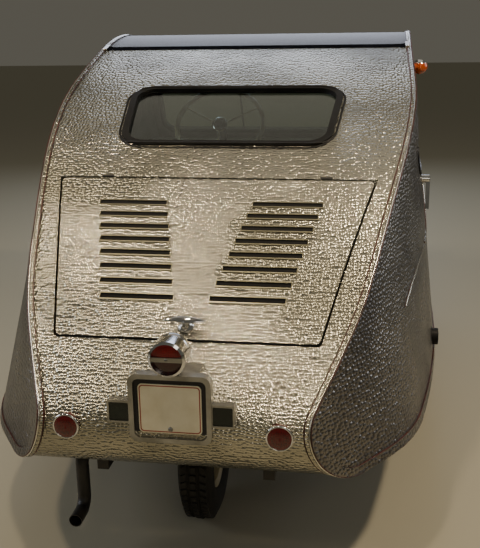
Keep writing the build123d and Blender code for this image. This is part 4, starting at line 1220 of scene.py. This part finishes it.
# The dial looks back from the dash, behind the steering wheel.
DASH_FACE_Y = -760 * MM
dial_place = facing_back(DRIVER_X, DASH_FACE_Y, 822 * MM)
dial_rim = in_mm((38, 0), (46, 0), (46, 5), (42, 8), (38, 5), (38, 0))
make_piece("dial_rim", turned(dial_rim, dial_place, 48), chrome, "root")
dial_face = in_mm((0, 0.5), (38, 0.5), (38, 3), (0, 3))
make_piece("dial_face", turned(dial_face, dial_place, 48), ivory, "root")
KNOB_PLACES = ((60 * MM, "choke"), (0, "lights"), (-60 * MM, "starter"))
knob = in_mm((0, 0.2), (5, 0.2), (5, 14), (13, 16), (13, 22), (8, 26), (0, 27))
for x, label in KNOB_PLACES:
    knob_place = dial_place.copy()
    knob_place.translation.x = x
    make_piece(f"knob_{label}", turned(knob, knob_place, 28), ivory, "root")

# %% [markdown]
# ## Padded seats
#
# A seat is cloth over springs and wadding, drawn in along sewn channels. The CAD solid is made a
# little smaller, meshed evenly, and blown up as cloth under pressure, with a cap on how far any
# point may move. A run of shallow valleys across it then stands for the stitching.

# %% Seat cushion and seat back
SEAT_VOXEL = 8 * MM
SEAT_INSET = 9 * MM
SEAT_CAP = 14 * MM
SEAT_FRAMES = 14
SEAT_PRESSURE = 4.0
STITCH_WIDTH, STITCH_DEPTH = 9 * MM, 7 * MM
CHANNEL_REACH, CHANNEL_COUNT = 0.44, 8


def padded_seat(node):
    """A sprung seat: the CAD solid, a little smaller, swollen as cloth, with sewn channels."""
    solid = frame["nodes"][node].data
    shape = bmesh.new()
    shape.from_mesh(solid)
    bmesh.ops.remove_doubles(shape, verts=shape.verts, dist=0.01 * MM)
    centre = sum((v.co for v in shape.verts), Vector()) / len(shape.verts)
    for vert in shape.verts:
        for axis in range(3):
            away = vert.co[axis] - centre[axis]
            vert.co[axis] -= math.copysign(min(SEAT_INSET, abs(away)), away)
    mesh = bpy.data.meshes.new(f"{node}_pad")
    shape.to_mesh(mesh)
    shape.free()
    pad = bpy.data.objects.new(f"{node}_pad", mesh)
    bpy.context.scene.collection.objects.link(pad)
    remesh = pad.modifiers.new("remesh", "REMESH")
    remesh.mode = "VOXEL"
    remesh.voxel_size = SEAT_VOXEL
    meshed = bpy.data.meshes.new_from_object(pad.evaluated_get(bpy.context.evaluated_depsgraph_get()))
    pad.modifiers.clear()
    pad.data = meshed
    start = [v.co.copy() for v in meshed.vertices]
    cloth = pad.modifiers.new("cloth", "CLOTH")
    cloth.settings.quality = 4
    cloth.settings.use_pressure = True
    cloth.settings.uniform_pressure_force = SEAT_PRESSURE
    cloth.settings.effector_weights.gravity = 0.0
    cloth.collision_settings.use_collision = False
    cloth.point_cache.frame_end = SEAT_FRAMES
    for number in range(1, SEAT_FRAMES + 1):
        bpy.context.scene.frame_set(number)
    swollen = bpy.data.meshes.new_from_object(
        pad.evaluated_get(bpy.context.evaluated_depsgraph_get())
    )
    pad.modifiers.clear()
    pad.data = swollen
    bpy.context.scene.frame_set(1)
    low, high = [Vector(corner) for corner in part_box(node)]
    pitch = 2 * CHANNEL_REACH / CHANNEL_COUNT
    for vert, first in zip(pad.data.vertices, start):
        shift = vert.co - first
        if shift.length > SEAT_CAP:
            vert.co = first + shift.normalized() * SEAT_CAP
        across = (vert.co.x + CHANNEL_REACH) / pitch
        seam = math.exp(-(((across - round(across)) * pitch / STITCH_WIDTH) ** 2))
        for axis in range(3):
            vert.co[axis] = min(max(vert.co[axis], low[axis]), high[axis])
        if abs(vert.co.x) < CHANNEL_REACH + pitch / 2:
            vert.co += (centre - vert.co).normalized() * STITCH_DEPTH * seam
    padded = joined([pad.data])
    bpy.data.objects.remove(pad)
    return make_piece(f"{node}_padded", padded, seat_cloth, "root", (node,))


for node in ("seat_cushion", "seat_back"):
    seat = padded_seat(node)
    print(node, "points", len(seat.data.vertices))

# %% [markdown]
# ## Headlamp rims, hub caps and wheel nuts
#
# A bright rolled rim holds each headlamp's glass. A pressed cap closes each front hub, and four
# nuts hold every wheel. All are turned, and the nuts stand round the hub by the wheels' own tree.

# %% Headlamp rims
RIM_RING = in_mm((68, 0), (72, 3), (78, 1), (79, -9), (75.3, -11), (68, -4), (68, 0))
for side, name in SIDES:
    head_place = Matrix(
        ((1, 0, 0, side * HEADLAMP_X), (0, 0, -1, LAMP_FRONT_Y), (0, 1, 0, HEADLAMP_Z), (0, 0, 0, 1))
    )
    make_piece(f"headlamp_rim_{name}", turned(RIM_RING, head_place, 64), chrome, "root")

# %% Hub caps and wheel nuts
DISC_FACE = 20 * MM
NUT_COUNT = 4
NUT_CIRCLE = 55 * MM
cap_profile = in_mm(
    (0, 21.5), (19, 19.5), (31, 12), (32, 1), (37, 1), (37, 4), (33, 14), (20, 22), (0, 24)
)
nut_profile = in_mm((0, -2), (9, -2), (9, 6), (6.5, 8.5), (0, 8.5))
for name, hub, side in WHEELS:
    outwards = Matrix.Rotation(side * math.pi / 2, 4, "Y")
    nut_place = Matrix.Translation((side * DISC_FACE, 0, NUT_CIRCLE)) @ outwards
    nuts = grown(ring_tree, turned(nut_profile, nut_place, 6), {"Count": NUT_COUNT, "Material": zinc})
    nuts.transform(Matrix.Translation(hub))
    make_piece(f"wheel_nuts_{name}", nuts, None, f"wheel_{name}", smooth=False)
    if name != "rear":
        cap_place = Matrix.Translation(hub + Vector((side * DISC_FACE, 0, 0))) @ outwards
        make_piece(f"hub_cap_{name}", turned(cap_profile, cap_place), chrome, f"wheel_{name}")

# %% [markdown]
# ## Hatch hinges and roof corners
#
# The hatch hangs on two hinges, which show as short black blocks in its top gap. A bright cap
# closes each rear corner of the roof. Both are small plates laid on the surface that carries them.

# %% Hinges of the hatch
HINGE_X = 330 * MM
HINGE_SIZE = (36 * MM, 8 * MM)
HATCH_TOP = 663 * MM
for side, name in SIDES:
    hinge = slab_mesh(
        rounded_outline(*HINGE_SIZE, 2 * MM), back_frame(HATCH_TOP, side * HINGE_X), -4 * MM, 1.2 * MM
    )
    make_piece(f"hatch_hinge_{name}", hinge, black_paint, "root", smooth=False)

# %% Corner caps of the roof
CAP_SIZE, CAP_CORNER = (16 * MM, 62 * MM), 5 * MM
CAP_LOW, CAP_HIGH, CAP_BEVEL = -3 * MM, 4.5 * MM, 1.5 * MM
for side, name in SIDES:
    x = side * SEAM_REACH
    corner_place = Matrix.Translation((x, SEAM_Y, roof_height(x, SEAM_Y)))
    corner_place = corner_place @ Matrix.Rotation(-rear_slope, 4, "X")
    cap_outline = rounded_outline(*CAP_SIZE, CAP_CORNER)
    corner_cap = slab_mesh(cap_outline, corner_place, CAP_LOW, CAP_HIGH, bevel=CAP_BEVEL)
    make_piece(f"roof_corner_cap_{name}", corner_cap, bright_trim, "root", smooth=False)
